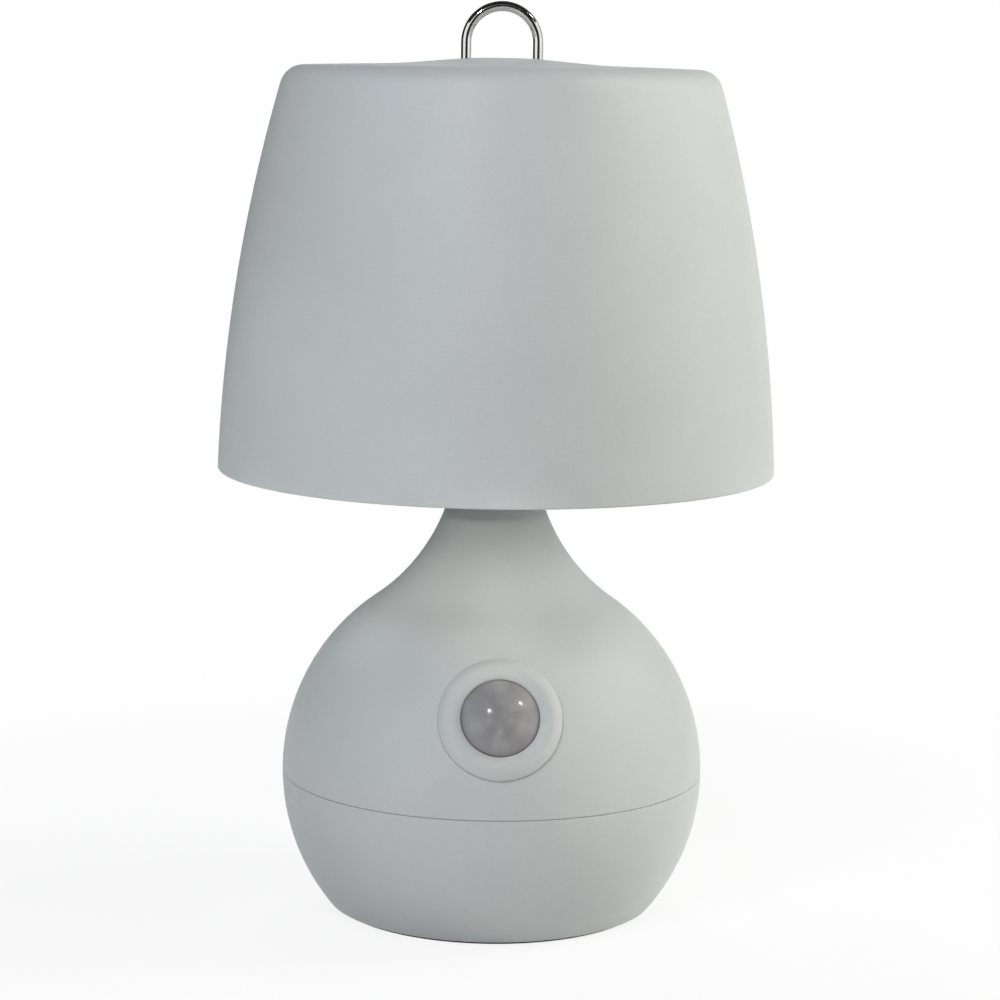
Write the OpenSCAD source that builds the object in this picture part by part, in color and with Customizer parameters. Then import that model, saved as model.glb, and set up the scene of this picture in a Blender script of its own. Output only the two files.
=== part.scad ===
// Battery lantern in the shape of a small table lamp, with a motion sensor in its round base.
// Millimetres, +Z up. The origin is the middle of the foot, on the surface that the lamp stands on,
// and the sensor faces -Y.

/* [Base] */
// Radius of the round bowl
bowl_r = 53.5; // [52:0.5:56]
// Radius of the neck
neck_r = 9.75; // [9:0.25:12]
// Radius of the hollow curve between the bowl and the neck
neck_curve_r = 49; // [45:1:53]
// Height of the neck's top, where the lamp deck sits
neck_top_z = 150; // [146:1:154]
// Wall of the base's two shells
base_wall = 2.2; // [1.8:0.1:2.6]
// Thickness of the base's floor
floor_t = 2.4; // [2.2:0.1:3]
// Height of the floor's underside over the surface
foot_gap = 0.8; // [0.6:0.1:1.2]
// Width of the shadow line between the two shells
seam_gap = 0.4; // [0.2:0.1:0.6]
// Height of the lip that centres the shells on each other
lip_h = 2.4; // [1.6:0.2:3]
// Thickness of the lip
lip_t = 0.9; // [0.7:0.1:1]

/* [Foot] */
// Width of the rubber foot ring
foot_w = 2.4; // [2:0.2:2.6]
// Distance of the foot ring from the floor's edge
foot_inset = 1.4; // [1:0.2:2]
// Distance of the foot ring from the corners of the battery compartment
foot_clear = 1.15; // [0.8:0.05:2]
// Depth of the groove that holds the foot ring
foot_groove = 1; // [0.8:0.1:1.2]

/* [Shade] */
// Radius at the shade's open lower edge
shade_bottom_r = 70; // [68:0.5:74]
// Height of the lower edge
shade_bottom_z = 112.2; // [110:0.2:116]
// Radius at the shoulder, where the side ends
shade_shoulder_r = 54.6; // [53:0.2:57]
// Height of the shoulder
shade_shoulder_z = 208; // [206:0.5:209]
// Radius of the gentle outward curve of the side
shade_side_r = 405; // [350:5:500]
// Radius of the rounded shoulder
shade_corner_r = 6.1; // [4.5:0.1:7]
// Height of the crown's middle
crown_z = 214; // [213:0.2:215]
// Radius of the crown's shallow dome
crown_r = 770; // [600:10:1000]
// Wall of the shade
shade_wall = 2.2; // [1.8:0.1:2.6]
// Radius of the thick middle of the crown, which carries the loop
crown_pad_r = 24; // [22:0.5:28]
// Floor left under the loop's groove
crown_pad_floor = 1.8; // [1.4:0.1:2.4]
// Radius of each post that carries the shade
post_r = 3.5; // [3:0.1:4]
// Distance of the posts from the lamp's axis
post_ring_r = 26; // [25.6:0.2:27]

/* [Hanging loop] */
// Diameter of the loop's wire
wire_d = 2.5; // [2:0.1:2.8]
// Distance between the middles of the loop's legs
loop_w = 17.8; // [16:0.2:20]
// Height of the loop over the crown
loop_rise = 14.4; // [13.6:0.2:16]
// Depth of the loop's hinge line under the crown
loop_hinge_depth = 2.2; // [2:0.1:2.6]
// Length of the pins that the wire's ends form
loop_pin_l = 3; // [2:0.2:4]
// Bend radius where a leg turns into its pin
loop_bend_r = 1.6; // [1.5:0.1:2]
// Space round the wire in its groove
loop_gap = 0.4; // [0.3:0.05:0.5]
// Radial space between a pin and its bore
hinge_fit = 0.05; // [0.02:0.01:0.1]
// Radius of the finger scoop at the groove's end
scoop_r = 9; // [8:0.5:10]
// Depth of the finger scoop
scoop_depth = 3.4; // [3:0.1:3.6]

/* [Batteries] */
// Diameter of a cell
cell_d = 14.2; // [13.8:0.1:14.5]
// Length of a cell with its button
cell_l = 50.2; // [49:0.1:51]
// Radius of the button at a cell's positive end
cell_button_r = 2.6; // [2.2:0.1:2.8]
// Height of the button
cell_button_h = 1.2; // [1:0.1:1.6]
// Space between two cells
cell_gap = 0.6; // [0.4:0.1:0.8]
// Space round the cells in their tray
cell_room = 0.3; // [0.2:0.1:0.6]
// Length of a fitted contact spring
spring_l = 3.6; // [3:0.2:4.4]
// Diameter of the contact springs' wire
spring_wire_d = 0.6; // [0.4:0.1:0.7]
// Radius of a contact spring at its plate
spring_wide_r = 4.6; // [4:0.2:5]
// Radius of a contact spring at its cell
spring_narrow_r = 2.6; // [2:0.2:3]
// Turns of a contact spring
spring_turns = 3; // [2:1:3]
// Thickness of the contact plates
plate_t = 0.4; // [0.3:0.1:0.5]
// Height and width of one contact's pad
plate_w = 11; // [9:0.5:12]
// Wall of the battery tray
tray_wall = 1.6; // [1.2:0.1:2]
// Distance of the tray's screws from the compartment's middle
tray_screw_y = 34; // [33.6:0.2:35]
// Distance of the compartment's middle behind the lamp's axis
cells_y = 1.2; // [1:0.1:1.6]

/* [Battery door] */
// Space round the door
door_gap = 0.3; // [0.25:0.05:0.4]
// Radius of the door's hinge pins
door_pin_r = 0.75; // [0.6:0.05:0.8]
// Length of the door's hinge pins
door_pin_l = 2; // [1.6:0.1:2.2]
// Distance of the door's hinge line from the cells' compartment
door_hinge_back = 1.4; // [1.3:0.1:1.8]
// Width of the latch tongue
latch_w = 12; // [10:0.5:14]
// Length of the slots beside the latch tongue
latch_l = 9; // [7:0.5:11]
// Width of those slots
latch_slot = 0.8; // [0.6:0.1:1]

/* [Sensor] */
// Tilt of the sensor's axis over the horizontal
sensor_tilt = 26.4; // [22:0.2:30]
// Radius of the bezel ring
bezel_r = 15.1; // [14.5:0.1:16]
// Height of the bezel over the bowl
bezel_rise = 0.5; // [0.3:0.1:0.8]
// Depth of the bezel's seat under the bowl at the bezel's edge
bezel_seat = 0.7; // [0.5:0.1:0.9]
// Radius of the lens window
lens_r = 9.45; // [9:0.05:10]
// Height of the lens's rim over the bowl's radius
lens_rim_rise = 0.9; // [0.5:0.1:1.5]
// Height of the lens's dome over its rim
lens_dome_h = 4.2; // [3.4:0.1:5]
// Thickness of the lens
lens_t = 0.8; // [0.6:0.1:1]
// Depth of the sensor board behind the bowl's surface
board_depth = 8.9; // [8.6:0.1:10]
// Width of the sensor board
board_w = 42; // [40:1:44]
// Height of the sensor board
board_h = 20; // [19:0.5:22]
// Thickness of the circuit boards
board_t = 1.6; // [1.2:0.1:2]
// Radius of the infrared sensor's can
pir_r = 4.5; // [4:0.1:4.6]
// Height of the infrared sensor's can
pir_h = 4.2; // [3.6:0.1:4.6]

/* [Switch] */
// Tilt of the switch's axis over the horizontal
switch_tilt = 15; // [12:1:20]
// Width of the switch's plate
switch_plate_w = 22; // [21:0.5:24]
// Height of the switch's plate
switch_plate_h = 10; // [9.6:0.2:12]
// Width of the sliding knob
knob_w = 8; // [7:0.5:9]
// Height of the sliding knob
knob_h = 6; // [5:0.2:6.4]
// Travel of the knob to each side
knob_travel = 2.5; // [2:0.1:3]
// Space round the knob and its stem
knob_gap = 0.3; // [0.25:0.05:0.4]

/* [Lamp deck] */
// Radius of the deck that carries the shade and the lights
deck_r = 31; // [30:0.5:34]
// Thickness of the deck
deck_t = 2.2; // [1.8:0.1:2.6]
// Length of the collar that holds the neck
collar_l = 6.5; // [5:0.5:9]
// Height of the ribs under the deck
deck_rib_h = 3; // [2:0.2:4]
// Thickness of the ribs
deck_rib_t = 1.2; // [1:0.1:1.6]
// Space between the light board and the shade's posts
led_board_gap = 0.5; // [0.3:0.1:1]
// Number of lights
led_count = 6; // [4:1:8]
// Distance of the lights' middles from the board's edge
led_inset = 6; // [4:0.5:8]
// Radius of one light
led_r = 2.5; // [1.5:0.1:2.5]
// Height of one light
led_h = 8.6; // [7:0.2:9]

/* [Fixings] */
// Radius of the case screws' shanks
screw_r = 1.25; // [1:0.05:1.5]
// Radius of the case screws' heads
screw_head_r = 2.6; // [2.2:0.1:2.8]
// Height of the case screws' heads
screw_head_h = 1.8; // [1.4:0.1:2.2]
// Radius of the small screws' shanks
small_screw_r = 0.9; // [0.8:0.05:1]
// Radius of the small screws' heads
small_head_r = 1.9; // [1.7:0.1:2.2]
// Height of the small screws' heads
small_head_h = 1.3; // [1:0.1:1.6]
// Space between a screw and the thread that it cuts
thread_fit = 0.03; // [0.02:0.01:0.05]
// Space round a screw that passes through
pass_fit = 0.3; // [0.2:0.05:0.4]
// Space between pieces that slip together
slip_fit = 0.1; // [0.05:0.05:0.2]
// Diameter of the insulated wires
lead_d = 1.3; // [1:0.1:1.4]

/* [Hidden] */
$fa = 3;
$fs = 0.5;
eps = 0.01;
big = 500;
large_arc_fn = 720;

shell_color = "#c3c7c7";
board_color = "#2f7a4a";
steel_color = "#b9bcc0";

// Batteries
floor_top_z = foot_gap + floor_t;
cell_pitch = cell_d + cell_gap;
cell_z = floor_top_z + cell_room + cell_d / 2;
tray_half_w = cell_pitch + cell_d / 2 + cell_room;
tray_half_l = (cell_l + spring_l + 2 * plate_t) / 2;
tray_in_z = cell_z + cell_d / 2 + cell_room;
tray_top_z = tray_in_z + tray_wall;
tray_boss_r = small_screw_r + 2;
tray_boss_z = floor_top_z + 6;
tray_tab_w = 2 * tray_boss_r + 2;
tray_screw_l = 5;
tag_w = 3;
tag_h = 2;

// Battery door
door_r = floor_t / 2;
door_hinge_y = -tray_half_l - door_hinge_back;
door_hinge_z = foot_gap + door_r;
door_half_w = tray_half_w - door_gap;
door_end_y = tray_half_l - door_gap;
door_opening_y = door_hinge_y - door_r - door_gap;

// Base: the foot ring lies round the battery compartment, and the bowl is cut flat there
foot_r = norm([tray_half_w, cells_y + door_opening_y]) + foot_clear + foot_w;
bowl_z = foot_gap + sqrt(pow(bowl_r, 2) - pow(foot_r + foot_inset, 2));
curve_x = neck_r + neck_curve_r;
curve_z = bowl_z + sqrt(pow(bowl_r + neck_curve_r, 2) - pow(curve_x, 2));
lip_r = bowl_r - base_wall + lip_t;
boss_r = screw_head_r + pass_fit + 1.4;
case_screw_x = tray_half_w + tray_wall + boss_r + 3.4;
case_screws = [for (x = [-1, 1], y = [-12, 12]) [x * case_screw_x, y]];
boss_join_z = 18;
boss_ledge = 2;
case_screw_l = 14;
neck_hole_r = 2.6;
neck_cap_t = 3;
deck_screw_x = 5.4;
deck_screw_l = 7;

// Shade
function middle_of_arc(a, b, r) = let (m = (a + b) / 2, d = b - a, l = norm(d))
    m + [-d[1], d[0]] / l * sqrt(r * r - l * l / 4);
function meet_of_circles(a, ra, b, rb) = let (d = b - a, l = norm(d), u = d / l,
    k = (l * l + ra * ra - rb * rb) / (2 * l)) a + u * k + [-u[1], u[0]] * sqrt(ra * ra - k * k);
side_mid = middle_of_arc([shade_bottom_r, shade_bottom_z], [shade_shoulder_r, shade_shoulder_z],
    shade_side_r);
crown_mid = [0, crown_z - crown_r];
corner_mid = meet_of_circles(side_mid, shade_side_r - shade_corner_r,
    crown_mid, crown_r - shade_corner_r);
deck_top_z = neck_top_z + deck_t;
post_top_z = crown_z - shade_wall * 0.7;
post_angles = [90, 210, 330];
shade_screw_l = 10;

// Hanging loop
wire_r = wire_d / 2;
leg_x = loop_w / 2;
loop_hinge_z = crown_z - loop_hinge_depth;
loop_arc_z = crown_z + loop_rise - wire_r - leg_x;
loop_leg_l = loop_arc_z - loop_hinge_z;
groove_half = wire_r + loop_gap;
groove_floor_z = loop_hinge_z - groove_half;
crown_pad_z = groove_floor_z - crown_pad_floor;

// Sensor
bezel_seat_z = sqrt(pow(bowl_r, 2) - pow(bezel_r, 2)) - bezel_seat;
bezel_bore_r = lens_r + 0.3;
bezel_dish_r = bezel_bore_r + 1.3;
bezel_dish = 0.7;
lens_flange_r = lens_r + 1.7;
lens_flange_t = 1;
lens_shoulder_z = bezel_seat_z + 0.5;
lens_rim_z = bowl_r + lens_rim_rise;
lens_ball_r = (pow(lens_r, 2) + pow(lens_dome_h, 2)) / (2 * lens_dome_h);
barrel_in_r = lens_flange_r + slip_fit;
barrel_r = barrel_in_r + 1.5;
barrel_l = 5;
retainer_t = 1.4;
board_z = bowl_r - board_depth;
board_screw_x = board_w / 2 - 3.5;
board_screw_l = 2.6;
board_post_r = small_screw_r + 1.8;
lead_seat = lead_d / 2 + 0.3;

// Switch
switch_floor_z = bowl_r - 2.1;
switch_pad_z = switch_floor_z - 4.4;
switch_pad_w = 34;
switch_pad_h = switch_plate_h + 3;
switch_rise = 0.3;
switch_corner_r = 2;
window_w = knob_w + 2 * (knob_travel + knob_gap);
window_h = knob_h + 2 * knob_gap;
stem_w = 4;
stem_h = 3;
stem_slot_w = stem_w + 2 * (knob_travel + knob_gap);
stem_slot_h = stem_h + 2 * knob_gap;
switch_screw_x = 14;
switch_frame_t = 0.6;
switch_can = [20, 9, 5.5];
switch_pin_l = 2.5;
switch_pin_x = 4;
stem_reach = 1.4;

// Lamp deck
collar_in_r = neck_r + slip_fit;
collar_r = collar_in_r + 2.1;
deck_rib_inset = 2;
led_board_r = post_ring_r - post_r - led_board_gap;
led_board_hole_r = deck_screw_x + small_head_r + 1;
led_ring_r = led_board_r - led_inset;
led_board_top_z = deck_top_z + board_t;
led_flange_r = led_r + 0.4;
led_flange_h = 1;

// Half outline of the base, moved inwards by inset
module base_outline(inset) {
    intersection() {
        square([big, big]);
        union() {
            translate([0, bowl_z]) circle(r = bowl_r - inset, $fn = large_arc_fn);
            difference() {
                polygon([[0, bowl_z], [curve_x, curve_z], [0, curve_z]]);
                translate([curve_x, curve_z]) circle(r = neck_curve_r + inset, $fn = large_arc_fn);
            }
            translate([0, curve_z - eps]) square([neck_r - inset, neck_top_z - curve_z + eps]);
        }
    }
}

// Half section of the base's wall between two heights
module base_wall_section(low, high) {
    intersection() {
        translate([0, low]) square([big, high - low]);
        difference() {
            base_outline(0);
            base_outline(base_wall);
        }
    }
}

// Half outline of the shade, moved inwards by inset
module shade_outline(inset) {
    to_side = (corner_mid - side_mid) / norm(corner_mid - side_mid);
    to_crown = (corner_mid - crown_mid) / norm(corner_mid - crown_mid);
    reach = 4 * shade_corner_r;
    difference() {
        intersection() {
            translate([0, shade_bottom_z]) square([big, big]);
            translate(side_mid) circle(r = shade_side_r - inset, $fn = 2 * large_arc_fn);
            translate(crown_mid) circle(r = crown_r - inset, $fn = 2 * large_arc_fn);
        }
        polygon([corner_mid, corner_mid + reach * to_side, corner_mid + reach * (to_side + to_crown),
            corner_mid + reach * to_crown]);
    }
    translate(corner_mid) circle(r = shade_corner_r - inset);
}

// Children placed in the battery compartment, with y counted from its middle
module in_compartment() {
    translate([0, cells_y, 0]) children();
}

// Children placed on the sensor's axis, with z counted from the bowl's centre
module on_sensor_axis() {
    translate([0, 0, bowl_z]) rotate([90 - sensor_tilt, 0, 0]) children();
}

// Children placed on the switch's axis, with z counted from the bowl's centre
module on_switch_axis() {
    translate([0, 0, bowl_z]) rotate([switch_tilt - 90, 0, 0]) children();
}

// Rectangle with round corners, centred
module round_rect(w, h, r) {
    square([w - 2 * r, h], center = true);
    square([w, h - 2 * r], center = true);
    for (x = [-1, 1], y = [-1, 1]) translate([x * (w / 2 - r), y * (h / 2 - r)]) circle(r = r);
}

// Screw whose head ends at the origin and whose shank points along +Z
module screw(shank_r, head_r, head_h, length) {
    difference() {
        translate([0, 0, -head_h]) cylinder(r = head_r, h = head_h);
        for (turn = [0, 90]) rotate([0, 0, turn])
            translate([-head_r * 0.6, -head_r * 0.12, -head_h - eps])
                cube([head_r * 1.2, head_r * 0.24, head_h * 0.55]);
    }
    cylinder(r = shank_r, h = length);
}

module case_screw(length) {
    screw(screw_r, screw_head_r, screw_head_h, length);
}

module small_screw(length) {
    screw(small_screw_r, small_head_r, small_head_h, length);
}

// Point on a smooth curve through the points p, at t between points i and i + 1
function on_curve(p, i, t) = let (a = p[max(i - 1, 0)], b = p[i], c = p[i + 1],
    d = p[min(i + 2, len(p) - 1)])
    (2 * b + (c - a) * t + (2 * a - 5 * b + 4 * c - d) * t * t + (3 * b - 3 * c + d - a) * t * t * t) / 2;
function smooth(p, steps) = [for (i = [0:len(p) - 2], k = [0:steps - 1]) on_curve(p, i, k / steps),
    p[len(p) - 1]];
function unit(v) = v / norm(v);

// Round tube along the points of path, whose sides are set out from the direction up
module tube(path, r, sides, up) {
    last = len(path) - 1;
    rings = [for (i = [0:last]) let (
        t = unit(path[min(i + 1, last)] - path[max(i - 1, 0)]),
        u = unit(cross(t, up)),
        v = cross(t, u))
        for (k = [0:sides - 1]) path[i] + r * (u * cos(360 * k / sides) + v * sin(360 * k / sides))];
    polyhedron(rings, concat(
        [[for (k = [0:sides - 1]) k]],
        [for (i = [0:last - 1], k = [0:sides - 1]) let (n = (k + 1) % sides)
            [i * sides + n, i * sides + k, (i + 1) * sides + k, (i + 1) * sides + n]],
        [[for (k = [sides - 1:-1:0]) last * sides + k]]), convexity = 6);
}

module lead(points) {
    tube(smooth(points, 6), lead_d / 2, 8, [1, 0, 0]);
}

// Base

module base_upper_shell() {
    seam_z = bowl_z + seam_gap / 2;
    color(shell_color) difference() {
        union() {
            rotate_extrude() {
                base_wall_section(seam_z, neck_top_z);
                translate([0, neck_top_z - neck_cap_t]) square([neck_r - base_wall / 2, neck_cap_t]);
            }
            intersection() {
                rotate_extrude() base_outline(base_wall / 2);
                union() {
                    for (p = case_screws) translate([p[0], p[1], boss_join_z])
                        cylinder(r = boss_r - 0.6, h = big);
                    for (x = [-1, 1]) translate([x * deck_screw_x, 0, neck_top_z - deck_screw_l - 3])
                        cylinder(r = small_screw_r + 1.5, h = deck_screw_l + 3);
                    on_sensor_axis() for (x = [-1, 1])
                        translate([x * board_screw_x, 0, board_z]) cylinder(r = board_post_r, h = bowl_r);
                    on_switch_axis() translate([-switch_pad_w / 2, -switch_pad_h / 2, switch_pad_z])
                        cube([switch_pad_w, switch_pad_h, bowl_r]);
                }
            }
        }
        cylinder(r = lip_r + slip_fit, h = bowl_z + lip_h);
        for (p = case_screws) translate([p[0], p[1], boss_join_z - eps])
            cylinder(r = screw_r + thread_fit, h = case_screw_l + 2);
        for (x = [-1, 1]) translate([x * deck_screw_x, 0, neck_top_z - deck_screw_l - 1])
            cylinder(r = small_screw_r + thread_fit, h = big);
        translate([0, 0, neck_top_z - neck_cap_t - 1]) cylinder(r = neck_hole_r, h = big);
        on_sensor_axis() {
            translate([0, 0, bezel_seat_z]) cylinder(r = bezel_r + slip_fit, h = bowl_r);
            translate([0, 0, board_z]) cylinder(r = barrel_r + slip_fit, h = bowl_r);
            for (x = [-1, 1]) translate([x * board_screw_x, 0, board_z - eps])
                cylinder(r = small_screw_r + thread_fit, h = board_screw_l - board_t + 1);
        }
        on_switch_axis() {
            translate([0, 0, switch_floor_z]) linear_extrude(bowl_r)
                round_rect(switch_plate_w + 2 * slip_fit, switch_plate_h + 2 * slip_fit,
                    switch_corner_r + slip_fit);
            translate([-stem_slot_w / 2, -stem_slot_h / 2, switch_pad_z - 1])
                cube([stem_slot_w, stem_slot_h, bowl_r]);
            for (x = [-1, 1]) translate([x * switch_screw_x, 0, switch_pad_z - eps])
                cylinder(r = small_screw_r + thread_fit, h = 3);
        }
    }
}

module base_lower_shell() {
    color(shell_color) difference() {
        union() {
            rotate_extrude() {
                base_wall_section(foot_gap, bowl_z - seam_gap / 2);
                intersection() {
                    base_outline(base_wall / 2);
                    translate([0, foot_gap]) square([big, floor_t]);
                }
                translate([lip_r - lip_t, bowl_z - 4]) square([lip_t, lip_h + 4]);
            }
            for (p = case_screws) translate([p[0], p[1], foot_gap])
                cylinder(r = boss_r, h = boss_join_z - foot_gap);
            in_compartment() for (y = [-1, 1]) translate([0, y * tray_screw_y, foot_gap])
                cylinder(r = tray_boss_r, h = tray_boss_z - foot_gap);
        }
        in_compartment() {
            translate([-tray_half_w, door_opening_y, -1])
                cube([2 * tray_half_w, tray_half_l - door_opening_y, floor_top_z + 2]);
            translate([0, door_hinge_y, door_hinge_z]) rotate([0, 90, 0])
                cylinder(r = door_pin_r + hinge_fit, h = 2 * (door_half_w + door_pin_l + door_gap),
                    center = true);
            for (y = [-1, 1]) translate([0, y * tray_screw_y, floor_top_z])
                cylinder(r = small_screw_r + thread_fit, h = big);
        }
        for (p = case_screws) translate([p[0], p[1], 0]) {
            cylinder(r = screw_head_r + pass_fit, h = boss_join_z - boss_ledge);
            cylinder(r = screw_r + pass_fit, h = big);
        }
        rotate_extrude() translate([foot_r - foot_w - slip_fit, 0])
            square([foot_w + 2 * slip_fit, foot_gap + foot_groove]);
    }
}

module foot_ring() {
    color("#3a3836") rotate_extrude() translate([foot_r - foot_w, 0])
        square([foot_w, foot_gap + foot_groove]);
}

module base_screws() {
    color(steel_color) for (p = case_screws) translate([p[0], p[1], boss_join_z - boss_ledge])
        case_screw(case_screw_l);
}

// Batteries

module battery_door() {
    width = 2 * door_half_w;
    color(shell_color) in_compartment() {
        difference() {
            union() {
                translate([-door_half_w, door_hinge_y, foot_gap])
                    cube([width, door_end_y - door_hinge_y, floor_t]);
                translate([0, door_hinge_y, door_hinge_z]) rotate([0, 90, 0])
                    cylinder(r = door_r, h = width, center = true);
                translate([0, door_end_y - 0.3, door_hinge_z]) rotate([0, 90, 0])
                    cylinder(r = 0.5, h = latch_w - 2, center = true);
            }
            for (x = [-1, 1]) translate([x * (latch_w + latch_slot) / 2, door_end_y, door_hinge_z])
                cube([latch_slot, 2 * latch_l, floor_t + 1], center = true);
            translate([0, door_end_y - 4.5, foot_gap]) rotate([0, 90, 0])
                cylinder(r = 1.2, h = latch_w - 3, center = true);
        }
        translate([0, door_hinge_y, door_hinge_z]) rotate([0, 90, 0])
            cylinder(r = door_pin_r, h = width + 2 * door_pin_l, center = true);
    }
}

module battery_tray() {
    color("#d7d9d8") in_compartment() difference() {
        union() {
            translate([-tray_half_w - tray_wall, -tray_half_l - tray_wall, floor_top_z])
                cube([2 * (tray_half_w + tray_wall), 2 * (tray_half_l + tray_wall),
                    tray_top_z - floor_top_z]);
            translate([-tray_tab_w / 2, -tray_screw_y - tray_boss_r, tray_boss_z])
                cube([tray_tab_w, 2 * (tray_screw_y + tray_boss_r), tray_wall]);
        }
        translate([-tray_half_w, -tray_half_l, 0]) cube([2 * tray_half_w, 2 * tray_half_l, tray_in_z]);
        translate([-tray_half_w, door_hinge_y - door_r, 0])
            cube([2 * tray_half_w, tray_half_l, floor_top_z + door_gap]);
        for (y = [-1, 1]) {
            translate([0, y * tray_screw_y, 0]) cylinder(r = small_screw_r + pass_fit, h = big);
            translate([y * cell_pitch - tag_w / 2 - slip_fit, y * (tray_half_l - plate_t / 2)
                - plate_t / 2 - slip_fit, tray_in_z - 1])
                cube([tag_w + 2 * slip_fit, plate_t + 2 * slip_fit, tray_wall + 2]);
        }
    }
}

module tray_screws() {
    color(steel_color) in_compartment() for (y = [-1, 1])
        translate([0, y * tray_screw_y, tray_boss_z + tray_wall]) rotate([180, 0, 0])
            small_screw(tray_screw_l);
}

// Cell i of three, which lie side by side and point in turn to the back and to the front
module battery(i) {
    way = i == 2 ? -1 : 1;
    body_l = cell_l - cell_button_h;
    color("#8a8f96") in_compartment()
        translate([(i - 2) * cell_pitch, way * (tray_half_l - plate_t), cell_z]) rotate([way * 90, 0, 0]) {
            cylinder(r = cell_button_r, h = cell_button_h);
            translate([0, 0, cell_button_h]) cylinder(r = cell_d / 2, h = body_l);
        }
}

// Cone-shaped contact spring of cell i, between its plate and its cell
module contact_spring(i) {
    way = i == 2 ? -1 : 1;
    wire = spring_wire_d / 2;
    steps = 14 * spring_turns;
    reach = spring_l - spring_wire_d - 0.1;
    path = [for (k = [0:steps]) let (s = k / steps, turn = 360 * spring_turns * s,
        r = spring_wide_r + (spring_narrow_r - spring_wide_r) * s)
        [(i - 2) * cell_pitch + r * cos(turn),
            way * (wire + 0.05 + reach * s - tray_half_l + plate_t), cell_z + r * sin(turn)]];
    color(steel_color) in_compartment() tube(path, wire, 6, [0, 1, 0]);
}

// Contact plate from cell a to cell b against the tray's end wall; way is 1 at the back
module contact_plate(a, b, way) {
    inner_y = way > 0 ? tray_half_l - plate_t : -tray_half_l;
    in_compartment() translate([(a - 2) * cell_pitch - plate_w / 2, inner_y, cell_z - plate_w / 2])
        cube([(b - a) * cell_pitch + plate_w, plate_t, plate_w]);
}

// Contact plate of one cell, with the tag that its lead is soldered to
module contact_terminal(i, way) {
    inner_y = way > 0 ? tray_half_l - plate_t : -tray_half_l;
    contact_plate(i, i, way);
    in_compartment() translate([(i - 2) * cell_pitch - tag_w / 2, inner_y, cell_z])
        cube([tag_w, plate_t, tray_top_z + tag_h - cell_z]);
}

// Sensor

module sensor_bezel() {
    face_r = bowl_r + bezel_rise;
    dish_z = sqrt(face_r * face_r - bezel_dish_r * bezel_dish_r);
    color(shell_color) on_sensor_axis() difference() {
        union() {
            intersection() {
                translate([0, 0, bezel_seat_z]) cylinder(r = bezel_r, h = bowl_r);
                sphere(r = face_r, $fn = large_arc_fn / 2);
            }
            translate([0, 0, bezel_seat_z - barrel_l]) cylinder(r = barrel_r, h = barrel_l);
        }
        translate([0, 0, dish_z - bezel_dish])
            cylinder(r1 = bezel_bore_r, r2 = bezel_dish_r + 1.3, h = 2 * bezel_dish);
        cylinder(r = bezel_bore_r, h = big);
        cylinder(r = barrel_in_r, h = lens_shoulder_z);
    }
}

module sensor_lens() {
    inner_ball_r = lens_ball_r - lens_t;
    ball_z = lens_rim_z + lens_dome_h - lens_ball_r;
    color("#a9a6a8") on_sensor_axis() difference() {
        union() {
            translate([0, 0, lens_shoulder_z - lens_flange_t])
                cylinder(r = lens_flange_r, h = lens_flange_t);
            translate([0, 0, lens_shoulder_z - eps])
                cylinder(r = lens_r, h = lens_rim_z - lens_shoulder_z + eps);
            intersection() {
                translate([0, 0, ball_z]) sphere(r = lens_ball_r, $fn = 120);
                translate([0, 0, lens_rim_z - eps]) cylinder(r = lens_r, h = lens_ball_r);
            }
        }
        translate([0, 0, lens_shoulder_z - lens_flange_t - 1])
            cylinder(r = lens_r - lens_t, h = lens_rim_z - lens_shoulder_z + lens_flange_t + 1);
        intersection() {
            translate([0, 0, ball_z]) sphere(r = inner_ball_r, $fn = 120);
            translate([0, 0, lens_rim_z - eps]) cylinder(r = lens_r - lens_t, h = lens_ball_r);
        }
    }
}

module lens_retainer() {
    color("#505356") on_sensor_axis() translate([0, 0, lens_shoulder_z - lens_flange_t - retainer_t])
        difference() {
            cylinder(r = barrel_in_r - slip_fit / 2, h = retainer_t);
            translate([0, 0, -1]) cylinder(r = lens_r - lens_t, h = retainer_t + 2);
        }
}

module sensor_board() {
    color(board_color) on_sensor_axis() difference() {
        translate([-board_w / 2, -board_h / 2, board_z - board_t]) cube([board_w, board_h, board_t]);
        for (x = [-1, 1]) translate([x * board_screw_x, 0, 0])
            cylinder(r = small_screw_r + pass_fit, h = big);
    }
}

module sensor_screws() {
    color(steel_color) on_sensor_axis() for (x = [-1, 1])
        translate([x * board_screw_x, 0, board_z - board_t]) small_screw(board_screw_l);
}

module infrared_sensor() {
    color(steel_color) on_sensor_axis() translate([0, 0, board_z]) difference() {
        union() {
            cylinder(r = pir_r + 0.4, h = 0.4);
            cylinder(r = pir_r, h = pir_h);
        }
        translate([-2, -1.5, pir_h - 0.3]) cube([4, 3, 1]);
    }
}

module light_sensor() {
    color("#c98a5a") on_sensor_axis() translate([pir_r + 2.9, 0, board_z]) cylinder(r = 2, h = 2);
}

module timer_chip() {
    color("#26282a") on_sensor_axis() translate([-2.5, 3, board_z - board_t - 1.5]) cube([5, 4, 1.5]);
}

// Capacitor on the back of the sensor board; side is -1 or 1
module capacitor(side) {
    color("#3a4250") on_sensor_axis() translate([side * 9, -4, board_z - board_t - 7])
        cylinder(r = 2.5, h = 7);
}

// Switch

module switch_plate() {
    color(shell_color) on_switch_axis() difference() {
        intersection() {
            translate([0, 0, switch_floor_z]) linear_extrude(bowl_r)
                round_rect(switch_plate_w, switch_plate_h, switch_corner_r);
            sphere(r = bowl_r + switch_rise, $fn = large_arc_fn / 2);
        }
        translate([0, 0, switch_floor_z - 1]) linear_extrude(bowl_r)
            round_rect(window_w, window_h, 0.8);
    }
}

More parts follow.
